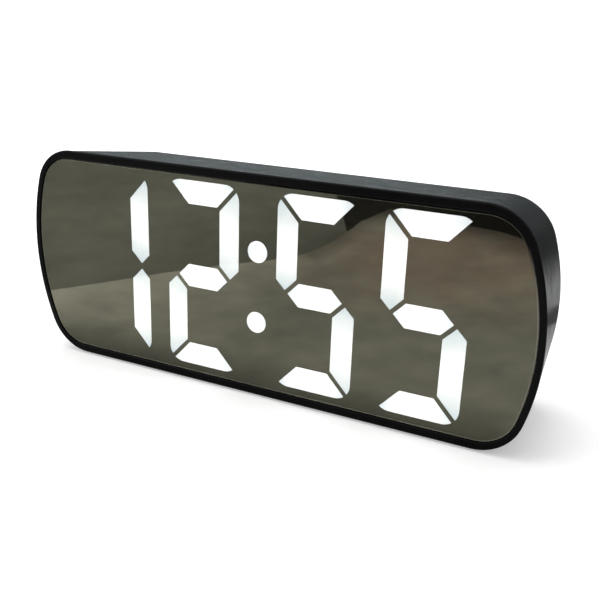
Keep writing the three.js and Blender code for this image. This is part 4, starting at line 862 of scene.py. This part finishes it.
cover_shells = [carved((skin_points, skin_faces), notches + [finger_well]),
                carved(cup, notches + tail_slots), barrel_shell(lip)]
tower = [(4.3, 34.3), (4.3, 31.95), (4.05, 31.7), (1.6, 31.7),
         (1.6, 33.1), (3.2, 33.1), (3.3, 33.2), (3.3, 34.3)]
cover_shells += [turned(tower, x, z, 36, closed=True) for x, z in post_places]
key_post = [(2.4, 34.2), (2.4, 27.1), (2.2, 26.9), (1.05, 26.9), (1.05, 31.2), (0.01, 31.2), (0.01, 34.2)]
cover_shells += [turned(key_post, x, z, closed=True) for x, z in KEY_POSTS]
sounder_wall = [(8.55, 34.2), (8.55, 29.7), (8.35, 29.5), (7.45, 29.5), (7.35, 29.6), (7.35, 34.2)]
cover_shells.append(turned(sounder_wall, SOUNDER_X, POCKET_Z, 48, closed=True))
for side, upper, lower in ((1, 0, 0), (-1, 0, 1), (1, 1, 2), (-1, 2, 2)):
    for z in (CELL_ROWS[upper] + 5, CELL_ROWS[lower] - 5):
        cover_shells.append(eased_box(POCKET_X + side * PLATE_REACH, z, 0.8, 0.4, 22.5, PLATE_BACK, 0.15))
cover_shells += [eased_box(POCKET_X, z, 20.4, 0.4, 22.5, 25.3, 0.2) for z in (3.6, -7.6)]
cover_grain = moulded_plastic(
    "fine-grained black ABS", (0.011, 0.0112, 0.012), (0.0165, 0.017, 0.018), rough=(0.36, 0.5), relief=0.55,
    grain_scale=2400, dust=0.25, edge=(0.06, 0.062, 0.065), edge_wear_and_highlight_amount=0.7)
cover = new_piece("rear_cover_moulding", "rear_cover", "cover_black", (cover_grain, cover_shells), smooth=30)
edited(cover.data, level_flats)
screws("cover_screw", post_places, 33.2, -1, 8, shank=1.25, head=2.8, height=1.9, pitch=0.8)

# Cells and contacts
# Three AAA cells in printed shrink sleeves lie side by side. Nickel-plated spring-steel plates
# stand between rails at the pocket's ends, dimpled for a cell's nub or with a spring for its foot.
CELL_DEPTH = 28.55
CELL_SHIFT = 1.3
CELL_LENGTH = 44.3
CELL_SIDES = 40
CELL_PROFILE = (
    (0.02, -21.7), (3.5, -21.7), (3.8, -21.5), (4.1, -21.5), (4.3, -21.68), (4.9, -21.68),
    (5.15, -21.55), (5.25, -21.25), (5.25, -12), (5.25, 0), (5.25, 12), (5.25, 20.95), (5.15, 21.35),
    (4.85, 21.6), (4.3, 21.65), (4.2, 21.35), (2.6, 21.3), (2.45, 21.2), (1.9, 21.3), (1.9, 22.3),
    (1.75, 22.54), (1.5, 22.6), (0.02, 22.6),
)
CELL_WRAP = range(4, 15)
SPRING_TURNS = 3
SPRING_STEPS = 72


def turned_along(profile, x, side, z, sides=CELL_SIDES):
    """A shell turned about a cell's axis from side to side, from (radius, distance) pairs"""
    return looped([[place(x + side * along, depth, up) for depth, up in circle(radius, CELL_DEPTH, z, sides)]
                   for radius, along in profile])


def cell_sleeve():
    """The printed sleeve: a graphite body, a copper band towards the nub and a thin pale line"""
    material, shader = start_material("printed shrink sleeve", Coat_Roughness=0.12)
    along = coordinate(add_node(shader, "UVMap", uv_map="length").outputs["UV"], "X")
    band = ranged(along, 0.709, 0.711)
    line = maths("MULTIPLY", ranged(along, 0.699, 0.7), ranged(along, 0.709, 0.71, 1, 0))
    where = object_place(shader)
    tone = noise(where, 300)
    base = mix_colour(tone, (0.012, 0.014, 0.018), (0.02, 0.023, 0.028))
    base = mix_colour(band, base, (0.36, 0.14, 0.05))
    base = mix_colour(line, base, (0.6, 0.6, 0.58))
    handled(shader, base, 0.2, 0.34)
    feed(shader, {"Coat Weight": ranged(tone, 0.3, 0.7, 0.5, 0.8), "Metallic": ranged(band, 0, 1, 0, 0.7)})
    bump(shader, noise(where, 500), 0.1, 0.00005)
    return material


sleeve_print = cell_sleeve()
nickel = plated_metal("nickel plated spring steel", (0.6, 0.58, 0.53), (0.72, 0.7, 0.65), (0.17, 0.32), 0.12)
for row, (side, z) in enumerate(zip((1, -1, 1), CELL_ROWS), 1):
    middle = POCKET_X + side * CELL_SHIFT
    cell = new_piece(f"cell_{row}_turned", f"battery_cell_{row}", "cell_jacket",
                     (sleeve_print, [turned_along(CELL_PROFILE, middle, side, z)]), (nickel, []))
    layer = cell.data.uv_layers.new(name="length")
    for face in cell.data.polygons:
        face.material_index = 0 if face.index // CELL_SIDES in CELL_WRAP else 1
        for loop in face.loop_indices:
            x = cell.data.vertices[cell.data.loops[loop].vertex_index].co.x / MM
            layer.data[loop].uv = (0.5 + side * (x - middle) / CELL_LENGTH, 0.5)


def tube(points, radius, sides):
    """A round wire along a line of points"""
    rings = []
    across = (points[1] - points[0]).orthogonal()
    for i, point in enumerate(points):
        ahead = (points[min(i + 1, len(points) - 1)] - points[max(i - 1, 0)]).normalized()
        across = (across - ahead * across.dot(ahead)).normalized()
        up = ahead.cross(across)
        rings.append([point + (across * a + up * b) * radius * MM for a, b in circle(1, 0, 0, sides)])
    return looped(rings)


def spring_line(side, z):
    """Out of the plate, three turns that draw in, and on to the cell"""
    coil = [(25.1, 3.2, 0), (24.7, 3.2, 0)]
    for share in shares(SPRING_STEPS):
        coil.append((24.4 - 3.4 * share, 3.2 - 1.2 * share, 2 * math.pi * SPRING_TURNS * share))
    coil += [(20.7, 2, 0.35), (20.5, 1.6, 0.7)]
    return [place(POCKET_X + side * along, CELL_DEPTH + radius * math.cos(t), z + radius * math.sin(t))
            for along, radius, t in coil]


DIMPLE = [(0.02, -0.9), (1, -0.88), (1.6, -0.74), (2, -0.4), (2.3, -0.1), (2.6, 0), (2.6, 0.2), (0.02, 0.2)]
for node, side, upper, lower, spring_row, dimple_row, tail_row in (
        ("contact_positive", 1, 0, 0, None, 0, 0), ("contact_bridge_upper", -1, 0, 1, 0, 1, None),
        ("contact_bridge_lower", 1, 1, 2, 1, 2, None), ("contact_negative", -1, 2, 2, 2, None, 2)):
    x, low, high = POCKET_X + side * PLATE_REACH, CELL_ROWS[lower] - 4.4, CELL_ROWS[upper] + 4.4
    shells = [eased_box(x, (low + high) / 2, 0.2, (high - low) / 2, 23.1, PLATE_BACK, 0.12)]
    if dimple_row is not None:
        shells.append(turned_along(DIMPLE, POCKET_X + side * 24.9, side, CELL_ROWS[dimple_row], 28))
    if spring_row is not None:
        shells.append(tube(spring_line(side, CELL_ROWS[spring_row]), 0.25, 10))
    if tail_row is not None:
        shells.append(eased_box(x, CELL_ROWS[tail_row], 0.2, 1, 20.2, 23.5, 0.12))
    new_piece(f"{node}_pressed", node, "contact_nickel", (nickel, shells), smooth=40)

# Battery door
# A flat door in the cover's plastic, flush with it. Two tabs hook under the skin at its lower
# edge, and a sprung tongue between two slits, with three grip grooves, latches it above.
DOOR_FRONT = 34.5
DOOR_LOW = -20.35
DOOR_HIGH = 16.35
DOOR_REACH = 26.7
SLIT_END = DOOR_HIGH - 7
slit_corners = []
for side in (1, -1):
    first, second = [POCKET_X + side * reach for reach in (6.8, 6)[::side]]
    slit_corners += [(first, DOOR_HIGH), (first, SLIT_END), (second, SLIT_END), (second, DOOR_HIGH)]
left, right = POCKET_X - DOOR_REACH, POCKET_X + DOOR_REACH
door_outline = rounded_corners(
    [(left, DOOR_LOW), (right, DOOR_LOW), (right, DOOR_HIGH)] + slit_corners + [(left, DOOR_HIGH)],
    [2.5] * 3 + [0.3, 0.39, 0.39, 0.3] * 2 + [2.5])
grooves = [eased_box(POCKET_X, DOOR_HIGH - 1.6 * k, 4.5, 0.3, 35.65, 36.6, 0.12) for k in (1, 2, 3)]
door_shells = [carved(pierced_plate(door_outline, [], DOOR_FRONT, CASE_DEPTH, 0.2), grooves),
               eased_box(POCKET_X, 14.35, 6, 0.5, 32.1, 34.9, 0.2)]
for x in TAB_PLACES:
    door_shells.append(eased_box(x, -20.5, 3, 1.65, 33.7, 34.7, 0.2))
    door_shells.append(eased_box(x, -19.5, 2.9, 0.6, 33.8, 34.9, 0.1))
door = new_piece("battery_door_moulding", "battery_door", "cover_black", (cover_grain, door_shells),
                 body="door", smooth=30)
edited(door.data, level_flats)

# Keys and switches
# Five caps in smooth black ABS, each with a flange under the skin and a stem. Plain signs are
# pad-printed on them. Each stem pushes the cream plunger of a small switch on the key board.
KEY_BOARD_FRONT = 25.6
SWITCH_BACK = 30.3
SIGN_FRONT = 36.7
SIGN_BACK = 36.8
bell = [(-1.75, -0.95), (1.75, -0.95), (1.2, -0.2), (1.05, 0.8),
        (0.5, 1.5), (-0.5, 1.5), (-1.05, 0.8), (-1.2, -0.2)]
clock_hands = [(1.1, -0.18), (1.1, -0.6), (-0.2, -0.6), (-0.2, 1.05), (0.25, 1.05), (0.25, -0.18)]
moon = arc(1.9, 0, 0, math.radians(56), math.radians(304), 40)
moon += arc(1.5, 0.85, 0, math.radians(280), math.radians(80), 40)
key_signs = {
    "snooze": [moon],
    "mode": [rounded_corners(clock_hands, [0.05] * 6, 2)],
    "alarm": [rounded_corners(bell, [0.15, 0.15, 0.2, 0.3, 0.4, 0.4, 0.3, 0.2]), circle(0.38, 0, -1.45, 20)],
    "up": [rounded_corners([(-1.7, -1), (1.7, -1), (0, 1.5)], [0.25] * 3)],
    "down": [rounded_corners([(-1.7, 1), (0, -1.5), (1.7, 1)], [0.25] * 3)],
}
key_black = moulded_plastic(
    "smooth black ABS", (0.009, 0.009, 0.0095), (0.013, 0.013, 0.0135), rough=(0.22, 0.36), relief=0.12,
    dust=0.2, edge_wear_and_highlight_amount=0.6)
sign_print = moulded_plastic(
    "pad-printed grey", (0.42, 0.42, 0.41), (0.5, 0.5, 0.49), rough=(0.38, 0.5), relief=0.1, dust=0.1,
    edge=(0.5, 0.5, 0.49), edge_wear_and_highlight_amount=0.1)
switch_black = moulded_plastic(
    "switch base nylon", 0.01, 0.016, rough=(0.4, 0.55), relief=0.2, dust=0.1, edge_wear_and_highlight_amount=0.4)
plunger_cream = moulded_plastic(
    "cream plunger acetal", (0.5, 0.45, 0.34), (0.6, 0.55, 0.43), rough=(0.28, 0.42), relief=0.1, dust=0.1,
    edge=(0.66, 0.62, 0.5), edge_wear_and_highlight_amount=0.4)
for key, (x, z, width, height) in KEY_SHAPES.items():
    levels = [(0.8, 32.9), (0.9, 33), (0.9, 33.8), (0.82, 33.9), (0.08, 33.9), (0, 34), (0, 36.2),
              (-0.05, 36.45), (-0.18, 36.62), (-0.4, 36.72), (-0.9, 36.76), (-1.8, 36.77),
              (-height / 2 + 0.05, 36.77)]
    cap = stacked([(capsule(x, z, width, height, grow, 24), depth) for grow, depth in levels])
    stem = turned([(1.45, 31.4), (1.6, 31.55), (1.6, 33)], x, z)
    signs = [pierced_plate([(x + a, z + b) for a, b in outline], [], SIGN_FRONT, SIGN_BACK)
             for outline in key_signs[key]]
    if key == "mode":
        dial = [(2.1, SIGN_FRONT), (2.1, SIGN_BACK), (1.75, SIGN_BACK), (1.75, SIGN_FRONT)]
        signs.insert(0, turned(dial, x, z, 40, closed=True))
    new_piece(f"key_{key}_cap", f"key_{key}", "key_black", (key_black, [cap, stem]), (sign_print, signs),
              body=f"{key}_key", smooth=30)
    finish_node(f"plunger_{key}", plunger_cream)
    bore = turned([(1.9, 28.5), (1.9, 31)], x, z, 32)
    base = carved(eased_box(x, z, 3, 3, KEY_BOARD_FRONT + 1.3, SWITCH_BACK - 0.35, 0.25), [bore])
    lid = carved(eased_box(x, z, 2.95, 2.95, SWITCH_BACK - 0.4, SWITCH_BACK, 0.1), [bore])
    stud = [(0.45, SWITCH_BACK - 0.1), (0.42, SWITCH_BACK - 0.01), (0.02, SWITCH_BACK)]
    studs = [turned(stud, x + a, z + b, 16) for a in (-2.2, 2.2) for b in (-2.2, 2.2)]
    new_piece(f"switch_{key}_body", f"switch_{key}", "switch_black", (switch_black, [base]),
              (zinc_steel, [lid] + studs))

# Key board
# A small board of the same green fibreglass, screwed to three posts of the cover. It carries
# the switches and the socket.
finish_node("key_board", circuit_board("key board laminate"))
screws("key_board_screw", KEY_POSTS, KEY_BOARD_FRONT - 0.1, 1, 5.5)

# Power socket
# A drawn stainless shell with a black tongue and gilt contacts, soldered to the key board.
SOCKET_BACK = 35.6
drawn_shell = stacked([(capsule(*SOCKET_SHAPE, grow, 16), depth) for grow, depth in (
    (0, 26.9), (0, 35.5), (-0.1, SOCKET_BACK), (-0.27, SOCKET_BACK), (-0.35, 35.5), (-0.35, 29.6))])
tongue = eased_box(KEY_X, SOCKET_Z, 3.05, 0.35, 29.2, 34.2, 0.12)
gilt_strips = [eased_box(KEY_X - 2.5 + k, SOCKET_Z + side * 0.34, 0.17, 0.03, 30.4, 33.8, 0.015, 1)
               for k in range(6) for side in (-1, 1)]
new_piece("power_socket_drawn", "power_socket", "steel",
          (plated_metal("stainless shell", 0.5, 0.62, (0.2, 0.34), 0.1), [drawn_shell]),
          (switch_black, [tongue]),
          (plated_metal("gilt contact", (0.75, 0.5, 0.16), (0.85, 0.6, 0.24), (0.15, 0.3)), gilt_strips))

# Sounder
# A small can moulded in black plastic and glued inside the cover's ring wall. Its port faces
# the sound holes.
sounder_shell = turned([
    (0.02, 27.9), (6.6, 27.9), (6.9, 28), (7, 28.3), (7, 29.1), (6.85, 29.25), (6.85, 29.45), (7, 29.6),
    (7, 33.5), (6.9, 33.8), (6.6, 33.9), (2.4, 33.9), (2.3, 33.8), (1.3, 33.8), (1.2, 33.7), (1.2, 32.4),
    (0.02, 32.4)],
    SOUNDER_X, POCKET_Z, 56)
sounder_black = moulded_plastic("sounder can", 0.008, 0.012, rough=(0.3, 0.45), relief=0.15, dust=0.2)
new_piece("sounder_can", "sounder", "chip_black", (sounder_black, [sounder_shell]))

# Leads and ribbon cable
# Stranded leads in red and black vinyl join the battery plates and the sounder to the LED
# board. A grey ribbon cable, bowed to take up its slack, joins the two boards.
LEAD_END = 10.4
LEAD_STEPS = 20
RIBBON_STEPS = 28
RIDGE_STEPS = 48
RIBBON_REACH = 4.96
STRAND_PITCH = 1.24


def vinyl(name, dark, light):
    """Extruded vinyl: a soft gloss, a fine grain and a slight clouding"""
    return moulded_plastic(name, dark, light, rough=(0.3, 0.42), relief=0.2, grain_scale=1800, dust=0.1,
                           edge=tuple(min(1, 1.3 * c) for c in light), edge_wear_and_highlight_amount=0.2)


def lead_line(start, end):
    """A lead's line from one face to another, square to both"""
    reach = Vector((0, abs(start.y - end.y) * 0.42, 0))
    handles = (start, start - reach, end + reach, end)
    return [sum((handles[k] * math.comb(3, k) * t ** k * (1 - t) ** (3 - k) for k in range(4)), Vector())
            for t in shares(LEAD_STEPS)]


lead_vinyls = {
    "red": vinyl("red vinyl", (0.3, 0.012, 0.01), (0.4, 0.02, 0.015)),
    "black": vinyl("black vinyl", (0.01, 0.01, 0.01), (0.016, 0.016, 0.016)),
}
for source, colour, start, end in (
        ("battery", "red", (36.1, 20.1, CELL_ROWS[0]), (29.1, LEAD_END, CELL_ROWS[0])),
        ("battery", "black", (-14.1, 20.1, CELL_ROWS[2]), (-7.1, LEAD_END, CELL_ROWS[2])),
        ("sounder", "red", (58.95, 27.8, POCKET_Z), (58.95, LEAD_END, 4)),
        ("sounder", "black", (53.95, 27.8, POCKET_Z), (53.95, LEAD_END, 4))):
    node = f"{source}_lead_{colour}"
    wire = tube(lead_line(place(*start), place(*end)), 0.6, 14)
    new_piece(f"{node}_wire", node, f"lead_{colour}", (lead_vinyls[colour], [wire]))
ribbon_rings = []
for share in shares(RIBBON_STEPS):
    bow = 4 * math.sin(math.pi * share) ** 2
    upper, lower = [], []
    for across in [RIBBON_REACH * (2 * step - 1) for step in shares(RIDGE_STEPS)]:
        ridge = 0.22 + 0.16 * abs(math.cos(math.pi * (across / STRAND_PITCH + 0.5)))
        for half, rise in ((upper, ridge), (lower, -ridge)):
            half.append(place(KEY_X + across, LEAD_END + 15.1 * share, POCKET_Z + bow + rise))
    ribbon_rings.append(upper + lower[::-1])
ribbon_grey = vinyl("grey ribbon vinyl", (0.3, 0.3, 0.31), (0.38, 0.38, 0.39))
new_piece("ribbon_cable_web", "ribbon_cable", "ribbon_grey", (ribbon_grey, [looped(ribbon_rings)]))

# Feet
# Four moulded rubber studs glued under the housing, cut to the rise of its underside.
GROUND = -32.6
UNDERSIDE = -32.1
FOOT_PROFILE = ((0.02, 0.12), (2.4, 0.12), (2.7, 0), (3.7, 0), (3.92, 0.1), (4, 0.3),
                (4, math.inf), (0.02, math.inf))
rubber = moulded_plastic(
    "moulded rubber", (0.011, 0.011, 0.0105), (0.019, 0.019, 0.018), rough=(0.7, 0.85), relief=0.6,
    grain_scale=1900, dust=0.5, edge=(0.04, 0.04, 0.038))
for label, x, depth in (
        ("front_left", -50, 9), ("front_right", 50, 9), ("rear_left", -50, 28), ("rear_right", 50, 28)):
    rings = [[place(a, back, min(GROUND + level, UNDERSIDE + REAR_BASE_RISE * back / CASE_DEPTH))
              for a, back in circle(radius, x, depth, 40)] for radius, level in FOOT_PROFILE]
    new_piece(f"foot_{label}_stud", f"foot_{label}", "foot_rubber", (rubber, [looped(rings)]))

# Floor, lamps and camera
# The clock stands on a plain pale floor under soft studio lamps, seen from the right, in front
# and above, as in the photograph. Flat cards give its mirror face and its case a room to reflect.


def rectangle(x0, y0, x1, y1):
    return [(x0, y0), (x1, y0), (x1, y1), (x0, y1)]


def studio_sheet(name, outline, height, material):
    """A flat part of the studio"""
    mesh = bpy.data.meshes.new(name)
    mesh.from_pydata([(x, y, height) for x, y in outline], [], [tuple(range(len(outline)))])
    mesh.materials.append(material)
    sheet = linked(name, mesh)
    return sheet


def seen_directly(near):
    """1 for rays from the camera, also through the mirror face or by way of it"""
    path = add_node(near, "LightPath").outputs
    seen = maths("MAXIMUM", path["Is Camera Ray"], path["Is Transmission Ray"])
    return maths("MAXIMUM", seen, path["Is Glossy Ray"])


floor_pale, floor_shader = start_material(
    "pale floor", Roughness=0.9, Base_Color=0.82, Specular_IOR_Level=0, Emission_Color=1)
brighter = ranged(vector_maths("LENGTH", object_place(floor_shader)), 0.12, 0.8, 0.34, 0.8)
feed(floor_shader, {"Emission Strength": maths("MULTIPLY", seen_directly(floor_shader), brighter)})
studio_sheet("studio_floor", rectangle(-4, -4, 4, 4), 0, floor_pale)

world = bpy.data.worlds.new("studio")
bpy.context.scene.world = world
world.use_nodes = True
background = world.node_tree.nodes["Background"]
feed(background, {"Strength": ranged(seen_directly(background), 0, 1, 0.55, 1), "Color": 1})


def studio_card(name, outline, height, colour, strength, mottled=0, ramps=()):
    """A card that only reflections see, mottled like stone; each ramp is direction, ends and levels"""
    material, shader = start_material(
        name, Roughness=1.0, Specular_IOR_Level=0, Base_Color=0, Emission_Color=colour)
    card = studio_sheet(name, outline, height, material)
    for kind in ("camera", "diffuse", "shadow", "transmission", "volume_scatter"):
        setattr(card, f"visible_{kind}", False)
    where = object_place(shader)
    blotch = maths("ADD", noise(where, 70, 7, 0.68), noise(where, 17))
    level = ranged(blotch, 0.7, 1.3, strength * (1 - mottled), strength * (1 + mottled))
    for x, y, *ends in ramps:
        level = maths("MULTIPLY", level, ranged(vector_maths("DOT_PRODUCT", where, (x, y, 0)), *ends))
    feed(shader, {"Emission Strength": level})
    return shader, where, level


# The table card's second ramp darkens it near the clock: a painted contact shadow, since the card itself
# takes no shadows
shader, where, level = studio_card(
    "table_reflection_card", rectangle(-1.5, -1.6, 1.5, -0.019), 0.0004, (1, 0.99, 0.97), 0.8, 0.21,
    [(1, 0, -0.115, -0.03, 1.85, 1), (0, 1, -0.044, -0.022, 1, 0.42), (-0.308, 1, -0.2118, -0.18, 0.28, 1)])
beside = maths("MAXIMUM", ranged(coordinate(where, "X"), -0.055, -0.04, 0.42, 1),
               ranged(coordinate(where, "Y"), -0.16, -0.13))
blot = vector_maths("DISTANCE", where, (0.005, -0.17, 0))
warm = maths("MULTIPLY", ranged(blot, 0.03, 0.09, 1, 0), ranged(noise(where, 60, 5), 0.3, 0.6, 0.5, 1))
feed(shader, {"Emission Strength": maths("MULTIPLY", level, beside),
              "Emission Color": mix_colour(warm, (1, 1, 0.99), (1.15, 0.93, 0.85))})
# The grey and the dark card lie where the mirror face shows the table's tone change
studio_card("grey_reflection_card", [
    (-0.1162, -0.0527), (-0.1141, -0.0563), (-0.1039, -0.0709), (-0.09, -0.092), (-0.0748, -0.1118),
    (-0.0634, -0.124), (-0.0557, -0.1327), (-0.0524, -0.1439), (-0.0511, -0.1594), (-0.0523, -0.1781),
    (-0.0771, -0.2194), (-0.12, -0.3), (-0.5, -0.4), (-0.5, -0.03), (-0.13, -0.03)], 0.0005,
    (0.98, 1, 0.98), 0.64, 0.18, [(1, 0, -0.11, -0.052, 1, 0.6)])
studio_card("dark_reflection_card", [
    (-0.099, -0.2536), (-0.0771, -0.2194), (-0.0523, -0.1781), (-0.0528, -0.1852), (-0.0545, -0.1959),
    (-0.0532, -0.2086), (-0.0519, -0.2241), (-0.0476, -0.2265), (-0.0242, -0.2202), (-0.007, -0.2138),
    (0.0082, -0.2109), (0.0189, -0.206), (0.0285, -0.196), (0.0353, -0.1869), (0.12, -0.19), (0.12, -0.36),
    (-0.1, -0.36)], 0.0006, (1, 1, 0.92), 0.068, 0.3, [(1, 0, -0.05, 0, 1, 0.45)])
studio_card("rear_left_card", rectangle(-2.5, 0.022, -0.13, 0.8), 0.0004, (0.88, 0.98, 1), 0.26, 0.1)
studio_card("rear_right_card", rectangle(-0.13, 0.022, 2.5, 0.8), 0.0004, (1, 1, 1), 0.4, 0.1,
            [(0, 1, 0.13, 0.2, 1, 0.1), (0, 1, 0.045, 0.075, 1.9, 1)])
# A painted shadow: this dark strip stands for the clock's shadow on the floor behind it, as the case's side
# sees it in reflection
studio_card("rear_painted_shadow_strip", rectangle(-0.13, 0.077, 2.5, 0.098), 0.0006, (1, 1, 1), 0.08)
studio_card("rear_dark_flag", rectangle(-2.5, 0.002, 2.5, 1.6), 0, (0.88, 0.98, 1), 0.24, 0,
            [(1, 0, -0.35, 0.05, 1, 0.2)])
flag = bpy.data.objects["rear_dark_flag"]
flag.rotation_euler = (math.radians(90), 0, 0)
flag.location = (0, 0.8, 0)

for name, size, energy, stand in (
        ("overhead_softbox", (0.9, 0.7), 6, (-0.15, 0.1, 0.9)),
        ("left_softbox", (0.5, 0.6), 2.5, (-0.75, -0.6, 0.5))):
    softbox = bpy.data.lights.new(name, "AREA")
    softbox.shape = "RECTANGLE"
    softbox.size, softbox.size_y = size
    softbox.energy = energy
    lamp = linked(name, softbox)
    lamp.location = stand
    lamp.rotation_euler = (Vector((0, 0, 0.03)) - Vector(stand)).to_track_quat("-Z", "Y").to_euler()

camera_data = bpy.data.cameras.new("camera")
camera_data.sensor_width = 36
camera_data.lens = 55.681
camera_data.clip_start = 0.01
camera = linked("camera", camera_data)
bpy.context.scene.camera = camera
camera.location = (0.12868, -0.21908, 0.1181)
camera.rotation_euler = (1.21404, 0.00547, 0.51587)

bpy.context.scene.view_settings.view_transform = "Standard"
